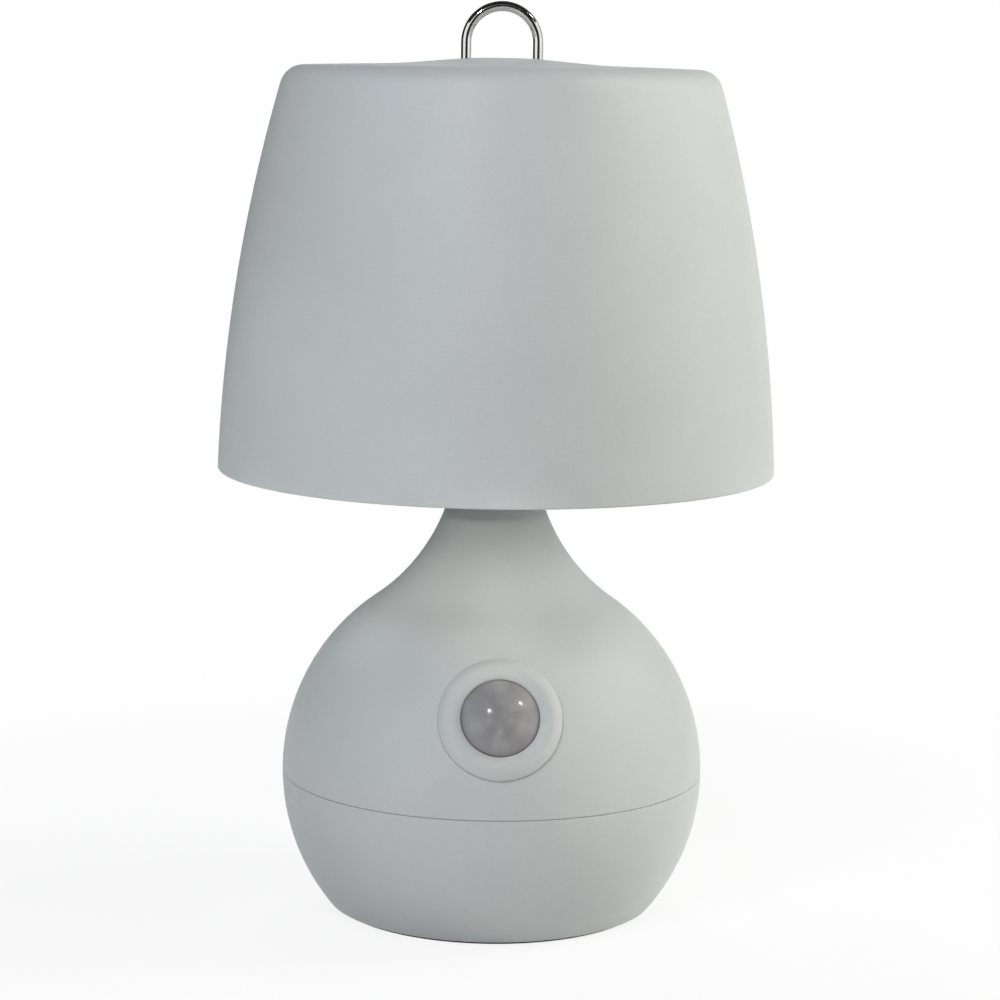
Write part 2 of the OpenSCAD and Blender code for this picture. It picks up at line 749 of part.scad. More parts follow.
module switch_body() {
    color("#3b3d40") on_switch_axis() difference() {
        union() {
            translate([-switch_pad_w / 2, -3, switch_pad_z - switch_frame_t])
                cube([switch_pad_w, 6, switch_frame_t]);
            translate([-switch_can[0] / 2, -switch_can[1] / 2, switch_pad_z - switch_can[2]])
                cube(switch_can);
            for (x = [-1, 0, 1])
                translate([x * switch_pin_x - 0.5, -0.3, switch_pad_z - switch_can[2] - switch_pin_l])
                    cube([1, 0.6, switch_pin_l + 0.5]);
        }
        translate([-stem_slot_w / 2, -stem_slot_h / 2, switch_pad_z - stem_reach - knob_gap])
            cube([stem_slot_w, stem_slot_h, 3]);
        for (x = [-1, 1]) translate([x * switch_screw_x, 0, 0])
            cylinder(r = small_screw_r + pass_fit, h = big);
    }
}

module switch_screws() {
    color(steel_color) on_switch_axis() for (x = [-1, 1])
        translate([x * switch_screw_x, 0, switch_pad_z - switch_frame_t]) small_screw(3);
}

module switch_knob() {
    base_z = switch_floor_z + knob_gap;
    cap_h = bowl_r + 1.2 - base_z;
    color("#e3e5e4") on_switch_axis() {
        difference() {
            translate([-knob_w / 2, -knob_h / 2, base_z]) cube([knob_w, knob_h, cap_h]);
            for (x = [-3:3]) translate([x * knob_w / 8 - 0.2, -knob_h / 2 - 1, base_z + cap_h - 0.4])
                cube([0.4, knob_h + 2, 1]);
        }
        translate([-stem_w / 2, -stem_h / 2, switch_pad_z - stem_reach])
            cube([stem_w, stem_h, base_z - switch_pad_z + stem_reach + eps]);
    }
}

// Lamp deck and lights

module lamp_deck() {
    color("#e6e7e5") difference() {
        union() {
            translate([0, 0, neck_top_z]) cylinder(r = deck_r, h = deck_t);
            translate([0, 0, neck_top_z - collar_l]) cylinder(r = collar_r, h = collar_l);
            for (a = [0:60:300]) rotate([0, 0, a])
                translate([collar_r - eps, -deck_rib_t / 2, neck_top_z - deck_rib_h])
                    cube([deck_r - deck_rib_inset - collar_r, deck_rib_t, deck_rib_h]);
        }
        translate([0, 0, neck_top_z - collar_l - 1]) cylinder(r = collar_in_r, h = collar_l + 1);
        cylinder(r = neck_hole_r, h = big);
        for (x = [-1, 1]) translate([x * deck_screw_x, 0, 0])
            cylinder(r = small_screw_r + pass_fit, h = big);
        for (a = post_angles) rotate([0, 0, a]) translate([post_ring_r, 0, 0])
            cylinder(r = screw_r + pass_fit, h = big);
    }
}

module deck_screws() {
    color(steel_color) for (x = [-1, 1]) translate([x * deck_screw_x, 0, deck_top_z])
        rotate([180, 0, 0]) small_screw(deck_screw_l);
}

module led_board() {
    color("#f0f1ee") translate([0, 0, deck_top_z]) difference() {
        cylinder(r = led_board_r, h = board_t);
        translate([0, 0, -1]) cylinder(r = led_board_hole_r, h = board_t + 2);
    }
}

// Light i on the light board
module led(i) {
    color("#f5f0c8") rotate([0, 0, 360 * (i - 0.5) / led_count])
        translate([led_ring_r, 0, led_board_top_z]) {
            cylinder(r = led_flange_r, h = led_flange_h);
            cylinder(r = led_r, h = led_h - led_r);
            translate([0, 0, led_h - led_r]) sphere(r = led_r);
        }
}

// Shade and loop

module shade() {
    color(shell_color) difference() {
        union() {
            rotate_extrude() {
                difference() {
                    shade_outline(0);
                    shade_outline(shade_wall);
                    square([shade_bottom_r - shade_wall, shade_bottom_z + 1]);
                }
                intersection() {
                    shade_outline(shade_wall / 2);
                    translate([0, crown_pad_z]) square([crown_pad_r, big]);
                }
            }
            for (a = post_angles) rotate([0, 0, a]) translate([post_ring_r, 0, deck_top_z])
                cylinder(r = post_r, h = post_top_z - deck_top_z);
        }
        for (a = post_angles) rotate([0, 0, a]) translate([post_ring_r, 0, deck_top_z - 1])
            cylinder(r = screw_r + thread_fit, h = shade_screw_l + 2);
        translate([0, 0, groove_floor_z]) difference() {
            union() {
                translate([0, loop_leg_l, 0]) cylinder(r = leg_x + groove_half, h = big);
                translate([-leg_x - groove_half, -groove_half, 0])
                    cube([2 * (leg_x + groove_half), loop_leg_l + groove_half, big]);
            }
            translate([0, loop_leg_l, -1]) cylinder(r = leg_x - groove_half, h = big);
            translate([groove_half - leg_x, -big, -1])
                cube([2 * (leg_x - groove_half), big + loop_leg_l, big]);
        }
        translate([0, 0, loop_hinge_z]) rotate([0, 90, 0])
            cylinder(r = wire_r + hinge_fit, h = 2 * leg_x, center = true);
        translate([0, loop_leg_l + leg_x + wire_r, crown_z - scoop_depth + scoop_r])
            sphere(r = scoop_r);
    }
}

module shade_screws() {
    color(steel_color) for (a = post_angles) rotate([0, 0, a])
        translate([post_ring_r, 0, neck_top_z]) case_screw(deck_t + shade_screw_l - 1);
}

module hang_loop() {
    pin_x = leg_x - loop_bend_r;
    color("#d8d8da") {
        translate([0, 0, loop_arc_z]) rotate([90, 0, 0]) rotate_extrude(angle = 180)
            translate([leg_x, 0]) circle(r = wire_r);
        for (side = [0, 1]) mirror([side, 0, 0]) {
            translate([leg_x, 0, loop_hinge_z + loop_bend_r])
                cylinder(r = wire_r, h = loop_leg_l - loop_bend_r);
            translate([pin_x, 0, loop_hinge_z + loop_bend_r]) rotate([90, 0, 0])
                rotate([0, 0, -90]) rotate_extrude(angle = 90) translate([loop_bend_r, 0])
                    circle(r = wire_r);
            translate([pin_x, 0, loop_hinge_z]) rotate([0, -90, 0])
                cylinder(r = wire_r, h = loop_pin_l);
        }
    }
}

// Leads

// Places on the sensor's and the switch's axes, in the lamp's own frame
function sensor_point(x, y, z) = [x, y * sin(sensor_tilt) - z * cos(sensor_tilt),
    bowl_z + y * cos(sensor_tilt) + z * sin(sensor_tilt)];
function switch_point(x, y, z) = [x, y * sin(switch_tilt) + z * cos(switch_tilt),
    bowl_z - y * cos(switch_tilt) + z * sin(switch_tilt)];

// Ends of the leads: a battery terminal's tag, a pin of the switch and a joint on the sensor board's back
function tag_end(side) = [side * cell_pitch, cells_y + side * (tray_half_l - 1.4), tray_top_z + 1];
function pin_end(side) = switch_point(side * switch_pin_x, 0, switch_pad_z - switch_can[2]
    - switch_pin_l - lead_seat);
function board_end(x, y) = sensor_point(x, y, board_z - board_t - lead_seat);

module battery_lead_red() {
    tag = tag_end(1);
    pin = pin_end(1);
    color("#b02020") lead([tag, tag + [0, -2, 7.4], (tag + pin) / 2 + [2, -5, 3.5],
        pin + [2, -6, -2.4], pin]);
}

module battery_lead_black() {
    tag = tag_end(-1);
    joint = board_end(-13, -1.3);
    color("#202020") lead([tag, tag + [0, 4, 7.4], (tag + joint) / 2 + [0, 6, 2], joint + [0, 6, -5],
        joint]);
}

module switch_lead() {
    pin = pin_end(-1);
    joint = board_end(-7, 5);
    color("#b0a020") lead([pin, pin + [-2, -7, 3.6], (pin + joint) / 2 + [0, 9, 3],
        (pin + joint) / 2 + [-2, -16, 6.5], joint + [0, 6, 0], joint]);
}

module led_lead(side) {
    joint = board_end(side * 4, 5.3);
    lead([joint, joint + [0, 5.5, 1.8], [side * 2.4, -16, 2 * bowl_z - 1], [side * 1.6, -3, curve_z - 34],
        [side * 1.2, 0, curve_z - 13], [side * 1.2, 0, neck_top_z - 10], [side * 1.4, 0, neck_top_z + 3],
        [side * 4.5, 0, deck_top_z + 4], [side * (led_board_hole_r + 1.2), 0, led_board_top_z + 1]]);
}

base_upper_shell();
base_lower_shell();
foot_ring();
base_screws();
battery_door();
battery_tray();
tray_screws();
battery(1);  // battery_1
battery(2);  // battery_2
battery(3);  // battery_3
contact_spring(1);  // contact_spring_1
contact_spring(2);  // contact_spring_2
contact_spring(3);  // contact_spring_3
color(steel_color) contact_plate(2, 3, -1);  // contact_link_front
color(steel_color) contact_plate(1, 2, 1);  // contact_link_back
color(steel_color) contact_terminal(1, -1);  // contact_terminal_front
color(steel_color) contact_terminal(3, 1);  // contact_terminal_back
sensor_bezel();
sensor_lens();
lens_retainer();
sensor_board();
sensor_screws();
infrared_sensor();
light_sensor();
timer_chip();
capacitor(-1);  // capacitor_1
capacitor(1);  // capacitor_2
switch_plate();
switch_body();
switch_screws();
switch_knob();
lamp_deck();
deck_screws();
led_board();
led(1);  // led_1
led(2);  // led_2
led(3);  // led_3
led(4);  // led_4
led(5);  // led_5
led(6);  // led_6
shade();
shade_screws();
hang_loop();
battery_lead_red();
battery_lead_black();
switch_lead();
color("#b02020") led_lead(1);  // led_lead_red
color("#202020") led_lead(-1);  // led_lead_black
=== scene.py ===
import math

import bmesh
import bpy
from mathutils import Matrix, Vector


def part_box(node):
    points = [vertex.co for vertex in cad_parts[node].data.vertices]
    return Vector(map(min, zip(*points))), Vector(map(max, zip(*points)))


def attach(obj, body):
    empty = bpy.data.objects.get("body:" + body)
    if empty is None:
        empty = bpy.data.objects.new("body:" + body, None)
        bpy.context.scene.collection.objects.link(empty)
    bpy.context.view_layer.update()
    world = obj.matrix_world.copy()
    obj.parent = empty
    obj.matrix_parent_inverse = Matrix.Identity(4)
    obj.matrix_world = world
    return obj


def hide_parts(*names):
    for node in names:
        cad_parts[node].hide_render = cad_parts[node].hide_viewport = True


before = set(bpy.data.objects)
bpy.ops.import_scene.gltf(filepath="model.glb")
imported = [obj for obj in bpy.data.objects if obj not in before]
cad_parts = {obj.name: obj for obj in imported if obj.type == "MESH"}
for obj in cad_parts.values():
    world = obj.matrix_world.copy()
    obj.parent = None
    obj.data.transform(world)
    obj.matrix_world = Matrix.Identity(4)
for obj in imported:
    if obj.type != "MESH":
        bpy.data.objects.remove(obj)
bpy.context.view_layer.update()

# The battery lantern's looks. Sizes are in millimetres, as in the CAD, and become metres in the meshes.
# An outline is a list of points, (radius, z) for a lathe. A rounding's reach is how far it runs back
# from the corner along each side. OVER is how far a pocket's cutter runs out past the surface, and
# OVERLAP how far a hole's cutter runs into the pocket over it.
MM = 0.001
SEGMENTS = 288
SMALL_SEGMENTS = 64
TINY = 1e-6
SAME_POINT = 1e-4
OVER = 2
OVERLAP = 0.3


# ------------------------------ outlines

def arc(middle, radius, start, end, steps):
    """Points on an arc from one angle to another, in degrees."""
    turns = [math.radians(start + (end - start) * i / steps) for i in range(steps + 1)]
    return [(middle[0] + radius * math.cos(t), middle[1] + radius * math.sin(t)) for t in turns]


def angle_to(a, b):
    """Direction from point a to point b, in degrees."""
    return math.degrees(math.atan2(b[1] - a[1], b[0] - a[0]))


def between(a, b, share):
    return tuple(p + (q - p) * share for p, q in zip(a, b))


def cubic(handles, steps):
    """Points on the curve of four handles, both ends included."""
    points = []
    for k in range(steps + 1):
        t = k / steps
        weights = ((1 - t) ** 3, 3 * t * (1 - t) ** 2, 3 * t * t * (1 - t), t ** 3)
        points.append(tuple(sum(w * p[axis] for w, p in zip(weights, handles)) for axis in (0, 1)))
    return points


def shortened(points, length):
    """A line of points without its last stretch of that length."""
    most_of_a_side = 0.49
    points = list(points)
    while len(points) > 2 and math.dist(points[-1], points[-2]) <= length:
        length -= math.dist(points[-1], points[-2])
        points.pop()
    share = min(most_of_a_side, length / math.dist(points[-1], points[-2]))
    points[-1] = between(points[-1], points[-2], share)
    return points


def without_repeats(outline):
    clean = [outline[0]]
    for point in outline[1:]:
        if math.dist(point, clean[-1]) > SAME_POINT:
            clean.append(point)
    if math.dist(clean[0], clean[-1]) < SAME_POINT:
        clean.pop()
    return clean


def joined(stretches, reaches, steps=5):
    """One outline from stretches that meet end to start, each meeting rounded over its reach.

    The last reach is that of the last stretch's meeting with the first. A reach is None where the
    outline stops on the lathe's axis."""
    handle = 0.56
    count = len(stretches)
    parts = [list(s) for s in stretches]
    for i, reach in enumerate(reaches):
        if reach:
            parts[i] = shortened(parts[i], reach)
            following = (i + 1) % count
            parts[following] = shortened(parts[following][::-1], reach)[::-1]
    outline = []
    for i, part in enumerate(parts):
        outline += part
        if reaches[i]:
            start, tip, end = part[-1], stretches[i][-1], parts[(i + 1) % count][0]
            handles = (start, between(start, tip, handle), between(end, tip, handle), end)
            outline += cubic(handles, steps)[1:-1]
    return without_repeats(outline)


def run(*points):
    """Straight stretches from point to point."""
    return [list(pair) for pair in zip(points, points[1:])]


def polygon(corners, steps=5):
    """Closed outline from corners (x, y, reach of the rounding)."""
    points = [corner[:2] for corner in corners]
    reaches = [corner[2] for corner in corners]
    return joined(run(*points, points[0]), reaches[1:] + reaches[:1], steps)


def round_rect(width, height, reach):
    x, y = width / 2, height / 2
    return polygon([(-x, -y, reach), (x, -y, reach), (x, y, reach), (-x, y, reach)], steps=6)


def split_long(outline, longest=1.0):
    """The closed outline with its long sides split."""
    result = []
    for point, following in zip(outline, outline[1:] + outline[:1]):
        parts = max(1, math.ceil(math.dist(point, following) / longest))
        result += [between(point, following, k / parts) for k in range(parts)]
    return result


def moved_out(outline, distance):
    """Closed counter-clockwise outline moved outwards by a distance."""
    sharpest = 0.4
    result = []
    for before, here, after in zip(outline[-1:] + outline, outline, outline[1:] + outline[:1]):
        before, here, after = Vector(before), Vector(here), Vector(after)
        first, second = (here - before).normalized(), (after - here).normalized()
        normals = Vector((first.y, -first.x)), Vector((second.y, -second.x))
        bisector = (normals[0] + normals[1]).normalized()
        stretch = 1 / max(sharpest, bisector.dot(normals[0]))
        result.append(tuple(here + bisector * distance * stretch))
    return result


def quarter(steps=4):
    """Shares of a rounded edge's radius: what is left to go one way, and what is gone the other way."""
    turns = [math.radians(90 * k / steps) for k in range(steps + 1)]
    return [(1 - math.sin(t), 1 - math.cos(t)) for t in turns]


def mirrored(upper):
    """Outline of a rod with two like ends, from its upper half."""
    return [(r, -z) for r, z in reversed(upper)] + upper


def at_height(outline, z):
    return [(x, y, z) for x, y in outline]


def over_ball(outline, radius):
    """The outline laid on a ball round the origin."""
    return [(x, y, math.sqrt(radius ** 2 - x * x - y * y)) for x, y in outline]


# ------------------------------ meshes

def finished(name, bm, place=None):
    """Object from a bmesh in millimetres."""
    bmesh.ops.recalc_face_normals(bm, faces=bm.faces)
    bm.transform(Matrix.Scale(MM, 4) @ (place or Matrix()))
    mesh = bpy.data.meshes.new(name)
    bm.to_mesh(mesh)
    bm.free()
    piece = bpy.data.objects.new(name, mesh)
    bpy.context.scene.collection.objects.link(piece)
    return piece


def circle(bm, radius, z, turns):
    if radius < TINY:
        return [bm.verts.new((0, 0, z))]
    return [bm.verts.new((radius * math.cos(t), radius * math.sin(t), z)) for t in turns]


def full_turn(segments):
    return [2 * math.pi * k / segments for k in range(segments)]


def lathe(name, outline, place=None, segments=SEGMENTS):
    """Solid of revolution round Z, from a closed outline or one that starts and ends on the axis."""
    bm = bmesh.new()
    turns = full_turn(segments)
    rings = [circle(bm, radius, z, turns) for radius, z in outline]
    for low, high in zip(rings, rings[1:] + rings[:1]):
        if len(low) == 1 and len(high) == 1:
            continue
        for k in range(segments):
            n = (k + 1) % segments
            corners = [low[k % len(low)], low[n % len(low)], high[n % len(high)], high[k % len(high)]]
            bm.faces.new(list(dict.fromkeys(corners)))
    return finished(name, bm, place)


def loft(name, loops, place=None):
    """Solid through loops of points, closed with a flat face at each end."""
    bm = bmesh.new()
    rings = [[bm.verts.new(point) for point in loop] for loop in loops]
    for low, high in zip(rings, rings[1:]):
        for k in range(len(low)):
            n = (k + 1) % len(low)
            bm.faces.new((low[k], low[n], high[n], high[k]))
    bm.faces.new(rings[0][::-1])
    bm.faces.new(rings[-1])
    return finished(name, bm, place)


def slab(name, outline, low, high, edge, place=None):
    """Plate with rounded edges, from a counter-clockwise outline."""
    levels = [(-edge * left, low + edge * gone) for left, gone in quarter()]
    levels += [(inset, low + high - z) for inset, z in reversed(levels)]
    return loft(name, [at_height(moved_out(outline, inset), z) for inset, z in levels], place)


def tube(name, path, radius, sides):
    """Round rod along points, with closed ends that are slightly rounded."""
    end_share = 0.86
    points = [Vector(p) for p in path]
    last = len(points) - 1
    across = None
    loops = []
    for i, point in enumerate(points):
        along = (points[min(i + 1, last)] - points[max(i - 1, 0)]).normalized()
        across = along.orthogonal() if across is None else across - along * across.dot(along)
        across.normalize()
        other = along.cross(across)
        r = radius * end_share if i in (0, last) else radius
        loops.append([point + r * (across * math.cos(t) + other * math.sin(t)) for t in full_turn(sides)])
    return loft(name, loops)


def lying(y, z):
    """Place of a lathe that lies along X."""
    return Matrix.Translation((0, y, z)) @ Matrix.Rotation(math.pi / 2, 4, "Y")


def together(pieces):
    """Several meshes as one."""
    bm = bmesh.new()
    for piece in pieces:
        bm.from_mesh(piece.data)
    first = pieces[0]
    bm.to_mesh(first.data)
    bm.free()
    for piece in pieces[1:]:
        bpy.data.objects.remove(piece)
    return first


def worked(piece):
    """Turns the piece's modifiers into its mesh."""
    bpy.context.view_layer.update()
    result = piece.evaluated_get(bpy.context.evaluated_depsgraph_get())
    mesh = bpy.data.meshes.new_from_object(result)
    piece.modifiers.clear()
    piece.data = mesh


def boolean(piece, tools, operation):
    tool = together(tools)
    modifier = piece.modifiers.new("tool", "BOOLEAN")
    modifier.operation = operation
    modifier.solver = "EXACT"
    modifier.object = tool
    worked(piece)
    bpy.data.objects.remove(tool)


def carve(piece, *tools):
    boolean(piece, tools, "DIFFERENCE")


def add(piece, *tools):
    boolean(piece, tools, "UNION")


def dress(piece, finish, body, nodes, sharp=32):
    """Gives a piece its material, smooth shading and body, and hides the CAD nodes that it stands for."""
    for face in piece.data.polygons:
        face.use_smooth = True
    piece.data.set_sharp_from_angle(angle=math.radians(sharp))
    flat = piece.modifiers.new("flat", "WEIGHTED_NORMAL")
    flat.keep_sharp = True
    worked(piece)
    piece.data.materials.clear()
    piece.data.materials.append(MATERIALS[finish])
    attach(piece, body)
    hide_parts(*nodes)


# ------------------------------ the lamp's sizes

def low_corner(node):
    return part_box(node)[0] / MM


def high_corner(node):
    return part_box(node)[1] / MM


def through_bowl(degrees):
    """Place whose Z axis starts in the bowl's middle, turned from upright round X."""
    return Matrix.Translation((0, 0, BOWL_Z)) @ Matrix.Rotation(math.radians(degrees), 4, "X")


WALL = 2.2
SLIP = 0.1

# Base: a round bowl whose halves meet at its widest, and a hollow curve up to the neck
FLOOR_Z = 0.8
FLOOR_TOP_Z = low_corner("battery_tray").z
BOWL_R = high_corner("base_lower_shell").x
CAD_SEAM_GAP = 0.4
SEAM_LINE = 0.1
SEAM_EDGE = 0.2
BOWL_Z = low_corner("base_upper_shell").z - CAD_SEAM_GAP / 2
BOWL = (0, BOWL_Z)
NECK_R = 9.75
NECK_TOP_Z = high_corner("base_upper_shell").z
NECK_CURVE_R = 49
NECK_CURVE_X = NECK_R + NECK_CURVE_R
NECK_CURVE = (NECK_CURVE_X, BOWL_Z + math.sqrt((BOWL_R + NECK_CURVE_R) ** 2 - NECK_CURVE_X ** 2))
NECK_MEETS = angle_to(BOWL, NECK_CURVE)
NECK_HOLE_R = 2.6
NECK_CAP = 3
LIP_Z = high_corner("base_lower_shell").z
LIP_DEPTH = 4
LIP_OUT_R = 52.2
LIP_IN_R = 51.3

# Foot ring, case screws in their deep holes, and battery door
FOOT_OUT_R = high_corner("foot_ring").x
FOOT_IN_R = FOOT_OUT_R - 2.4
FOOT_TOP_Z = high_corner("foot_ring").z
SCREW_X = 31.5
SCREW_Y = 12
SCREWS = [(x, y) for x in (-SCREW_X, SCREW_X) for y in (-SCREW_Y, SCREW_Y)]
SCREW_HOLE_R = 1.55
HEAD_HOLE_R = 2.9
HEAD_HOLE_TOP_Z = 16
BOSS_R = 4.3
BOSS_TOP_Z = 18
DOOR_LOW_Y = low_corner("battery_door").y
DOOR_END_Y = 28.2
DOOR_GAP = 0.3
DOOR_PIN_L = 2
DOOR_PIN_R = 0.75
DOOR_HALF_W = high_corner("battery_door").x - DOOR_PIN_L
DOOR_HALF_T = (FLOOR_TOP_Z - FLOOR_Z) / 2
DOOR_HINGE_Y = DOOR_LOW_Y + DOOR_HALF_T
LATCH_W = 12
LATCH_L = 9
LATCH_SLOT = 0.8

# Sensor, with its heights along its own axis, from the bowl's middle
SENSOR_TILT = 26.55
SENSOR_AXIS = through_bowl(90 - SENSOR_TILT)
BEZEL_R = 15.05
BEZEL_EDGE_Z = math.sqrt(BOWL_R ** 2 - BEZEL_R ** 2)
BEZEL_RISE = 0.75
BEZEL_GAP = 0.02
BEZEL_SEAT_Z = BEZEL_EDGE_Z - 0.7
CREST_R = 12
CREST_Z = BOWL_R + 0.38
BARREL_R = 12.75
BARREL_IN_R = 11.25
BARREL_L = 5
LENS_R = 9.4
LENS_WALL = 0.8
LENS_RIM_Z = BOWL_R - 0.05
LENS_DOME = 3.8
LENS_SHOULDER_Z = BEZEL_SEAT_Z + 0.5
LENS_PETALS = 6
LENS_MIDDLE_R = 2.2
LENS_PETAL_R = 8.1
FLANGE_R = BARREL_IN_R - SLIP
FLANGE_T = 1

# Switch, with its heights along its own axis too
SWITCH_TILT = 15
SWITCH_AXIS = through_bowl(SWITCH_TILT - 90)
SWITCH_FLOOR_Z = BOWL_R - 2.1
SWITCH_PAD_Z = SWITCH_FLOOR_Z - 4.4
PLATE_W = 22
PLATE_H = 10
PLATE_CORNER = 2.4
PLATE_TOP_R = BOWL_R + 0.3
KNOB_W = 8
KNOB_H = 6
KNOB_TOP_Z = BOWL_R + 1.2
KNOB_TRAVEL = 2.5
KNOB_GAP = 0.3
STEM_W = 4
STEM_H = 3

# Shade: a gently curved side, a round shoulder and a shallow crown with a low cap in its middle
SHADE_LOW = (high_corner("shade").x, low_corner("shade").z)
SHADE_SHOULDER = (54.6, 208)
SHADE_SIDE_R = 405
SHADE_CORNER_R = 6.1
CROWN_Z = high_corner("shade").z
CAP_RISE = 0.5
CAP_H = 1.4
CAP_IN_R = 3
CAP_OUT_R = 29
CROWN_R = 1446
CROWN = (0, CROWN_Z + CAP_RISE - CAP_H - CROWN_R)
PAD_R = 24
POST_R = 3.5
POST_RING_R = 26
POST_TOP_Z = CROWN_Z - 0.7 * WALL
POST_ANGLES = (90, 210, 330)
DECK_TOP_Z = high_corner("lamp_deck").z

# Hanging loop, and the groove and the fingertip's scoop that it folds into
WIRE_R = 1.25
BEND_R = 1.6
PIN_L = 3
PIN_FIT = 0.05
LEG_X = high_corner("hang_loop").x - WIRE_R
HINGE_Z = CROWN_Z - 2.2
LOOP_ARC_Z = high_corner("hang_loop").z - WIRE_R - LEG_X
LEG_L = LOOP_ARC_Z - HINGE_Z
GROOVE_HALF = WIRE_R + 0.4
GROOVE_FLOOR_Z = HINGE_Z - GROOVE_HALF
PAD_Z = GROOVE_FLOOR_Z - 1.8
SCOOP_R = 9
SCOOP_DEPTH = 3.4
SCOOP_FILLET = 0.9


# ------------------------------ materials

def bare_material(name):
    material = bpy.data.materials.new(name)
    material.use_nodes = True
    material.node_tree.nodes.clear()
    return material


def scaled(colour, factor):
    return tuple(min(1, c * factor) for c in colour)


# Every finish by its name, kept as it is made
MATERIALS = {}


class Nodes:
    """Builds the node material of a finish, keeping its shader and the coordinates at hand."""

    def __init__(self, name):
        MATERIALS[name] = bare_material(name)
        self.tree = MATERIALS[name].node_tree
        output = self.tree.nodes.new("ShaderNodeOutputMaterial")
        self.shader = self.tree.nodes.new("ShaderNodeBsdfPrincipled")
        self.link(self.shader, "BSDF", output, "Surface")
        self.place = self.tree.nodes.new("ShaderNodeTexCoord").outputs["Object"]

    def link(self, source, out, target, inlet):
        self.tree.links.new(source.outputs[out], target.inputs[inlet])

    def feed(self, inlet, value):
        """Gives an inlet a number, a colour or another node's output."""
        if isinstance(value, (int, float)):
            inlet.default_value = value
        elif isinstance(value, tuple):
            inlet.default_value = (*value, 1)
        else:
            self.tree.links.new(value, inlet)

    def set(self, **values):
        for name, value in values.items():
            self.shader.inputs[name.replace("_", " ")].default_value = value

    def use(self, output, inlet):
        self.tree.links.new(output, self.shader.inputs[inlet])

    def noise(self, size, detail=2.0, roughness=0.5, stretch=(1, 1, 1)):
        """Noise whose features are about size millimetres wide."""
        mapping = self.tree.nodes.new("ShaderNodeMapping")
        self.tree.links.new(self.place, mapping.inputs["Vector"])
        mapping.inputs["Scale"].default_value = stretch
        node = self.tree.nodes.new("ShaderNodeTexNoise")
        self.link(mapping, "Vector", node, "Vector")
        node.inputs["Scale"].default_value = 1 / (size * MM)
        node.inputs["Detail"].default_value = detail
        node.inputs["Roughness"].default_value = roughness
        return node.outputs["Fac"]

    def cells(self, size, feature="F1"):
        node = self.tree.nodes.new("ShaderNodeTexVoronoi")
        node.feature = feature
        self.tree.links.new(self.place, node.inputs["Vector"])
        node.inputs["Scale"].default_value = 1 / (size * MM)
        return node.outputs["Distance"]

    def ramp(self, value, low_colour, high_colour):
        """Colour that follows a noise, from its lower to its upper values."""
        node = self.tree.nodes.new("ShaderNodeValToRGB")
        self.tree.links.new(value, node.inputs["Fac"])
        for element, at, colour in zip(node.color_ramp.elements, (0.3, 0.7), (low_colour, high_colour)):
            element.position = at
            element.color = (*colour, 1)
        return node.outputs["Color"]

    def range(self, value, low, high, from_low=0.3, from_high=0.7):
        node = self.tree.nodes.new("ShaderNodeMapRange")
        self.tree.links.new(value, node.inputs["Value"])
        limits = {"From Min": from_low, "From Max": from_high, "To Min": low, "To Max": high}
        for name, number in limits.items():
            node.inputs[name].default_value = number
        return node.outputs["Result"]

    def math(self, operation, a, b=0):
        node = self.tree.nodes.new("ShaderNodeMath")
        node.operation = operation
        self.feed(node.inputs[0], a)
        self.feed(node.inputs[1], b)
        return node.outputs[0]

    def mix(self, share, a, b, blend="MIX"):
        node = self.tree.nodes.new("ShaderNodeMix")
        node.data_type = "RGBA"
        node.blend_type = blend
        factor, first, second = 0, 6, 7
        for inlet, value in ((factor, share), (first, a), (second, b)):
            self.feed(node.inputs[inlet], value)
        return node.outputs[2]

    def bump(self, height, depth, previous=None):
        """Bump of that depth in millimetres, over a previous one."""
        node = self.tree.nodes.new("ShaderNodeBump")
        node.inputs["Strength"].default_value = 1
        node.inputs["Distance"].default_value = depth * MM
        self.tree.links.new(height, node.inputs["Height"])
        if previous:
            self.tree.links.new(previous, node.inputs["Normal"])
        return node.outputs["Normal"]


def moulded(name, colour, roughness=0.5, depth=0.012, tone=0.03):
    """Moulded plastic with the fine even grain of a spark-eroded mould."""
    grain, pit_share, patch = 0.22, 2.2, 38
    n = Nodes(name)
    fine = n.noise(grain, detail=3, roughness=0.6)
    pits = n.cells(grain * pit_share)
    patchy = n.ramp(n.noise(patch), scaled(colour, 1 - tone), scaled(colour, 1 + tone))
    n.use(n.mix(1.0, patchy, n.range(fine, 0.94, 1.06), "MULTIPLY"), "Base Color")
    n.use(n.range(n.noise(2.4, detail=3), roughness - 0.05, roughness + 0.05), "Roughness")
    n.use(n.bump(pits, depth, n.bump(fine, depth)), "Normal")
    n.set(Specular_IOR_Level=0.35)


def polished_wire(name):
    """Nickel-plated wire with faint drawing lines."""
    n = Nodes(name)
    lines = n.noise(0.5, stretch=(1, 1, 0.05))
    n.use(n.ramp(n.noise(3, detail=3), (0.74, 0.73, 0.71), (0.86, 0.85, 0.83)), "Base Color")
    n.use(n.range(lines, 0.05, 0.12), "Roughness")
    n.set(Metallic=1.0)


def metal(name, colour, roughness):
    n = Nodes(name)
    scratch = n.noise(0.7, detail=4, stretch=(1, 0.2, 1))
    n.use(n.ramp(scratch, scaled(colour, 0.86), colour), "Base Color")
    n.use(n.range(scratch, roughness - 0.08, roughness + 0.1), "Roughness")
    n.use(n.bump(scratch, 0.004), "Normal")
    n.set(Metallic=1.0)


def rubber(name):
    n = Nodes(name)
    grain = n.noise(0.35, detail=3)
    patchy = n.ramp(n.noise(6, detail=3), (0.045, 0.035, 0.033), (0.075, 0.055, 0.05))
    n.use(patchy, "Base Color")
    n.use(n.range(grain, 0.68, 0.85), "Roughness")
    n.use(n.bump(grain, 0.03), "Normal")
    n.set(Specular_IOR_Level=0.25)


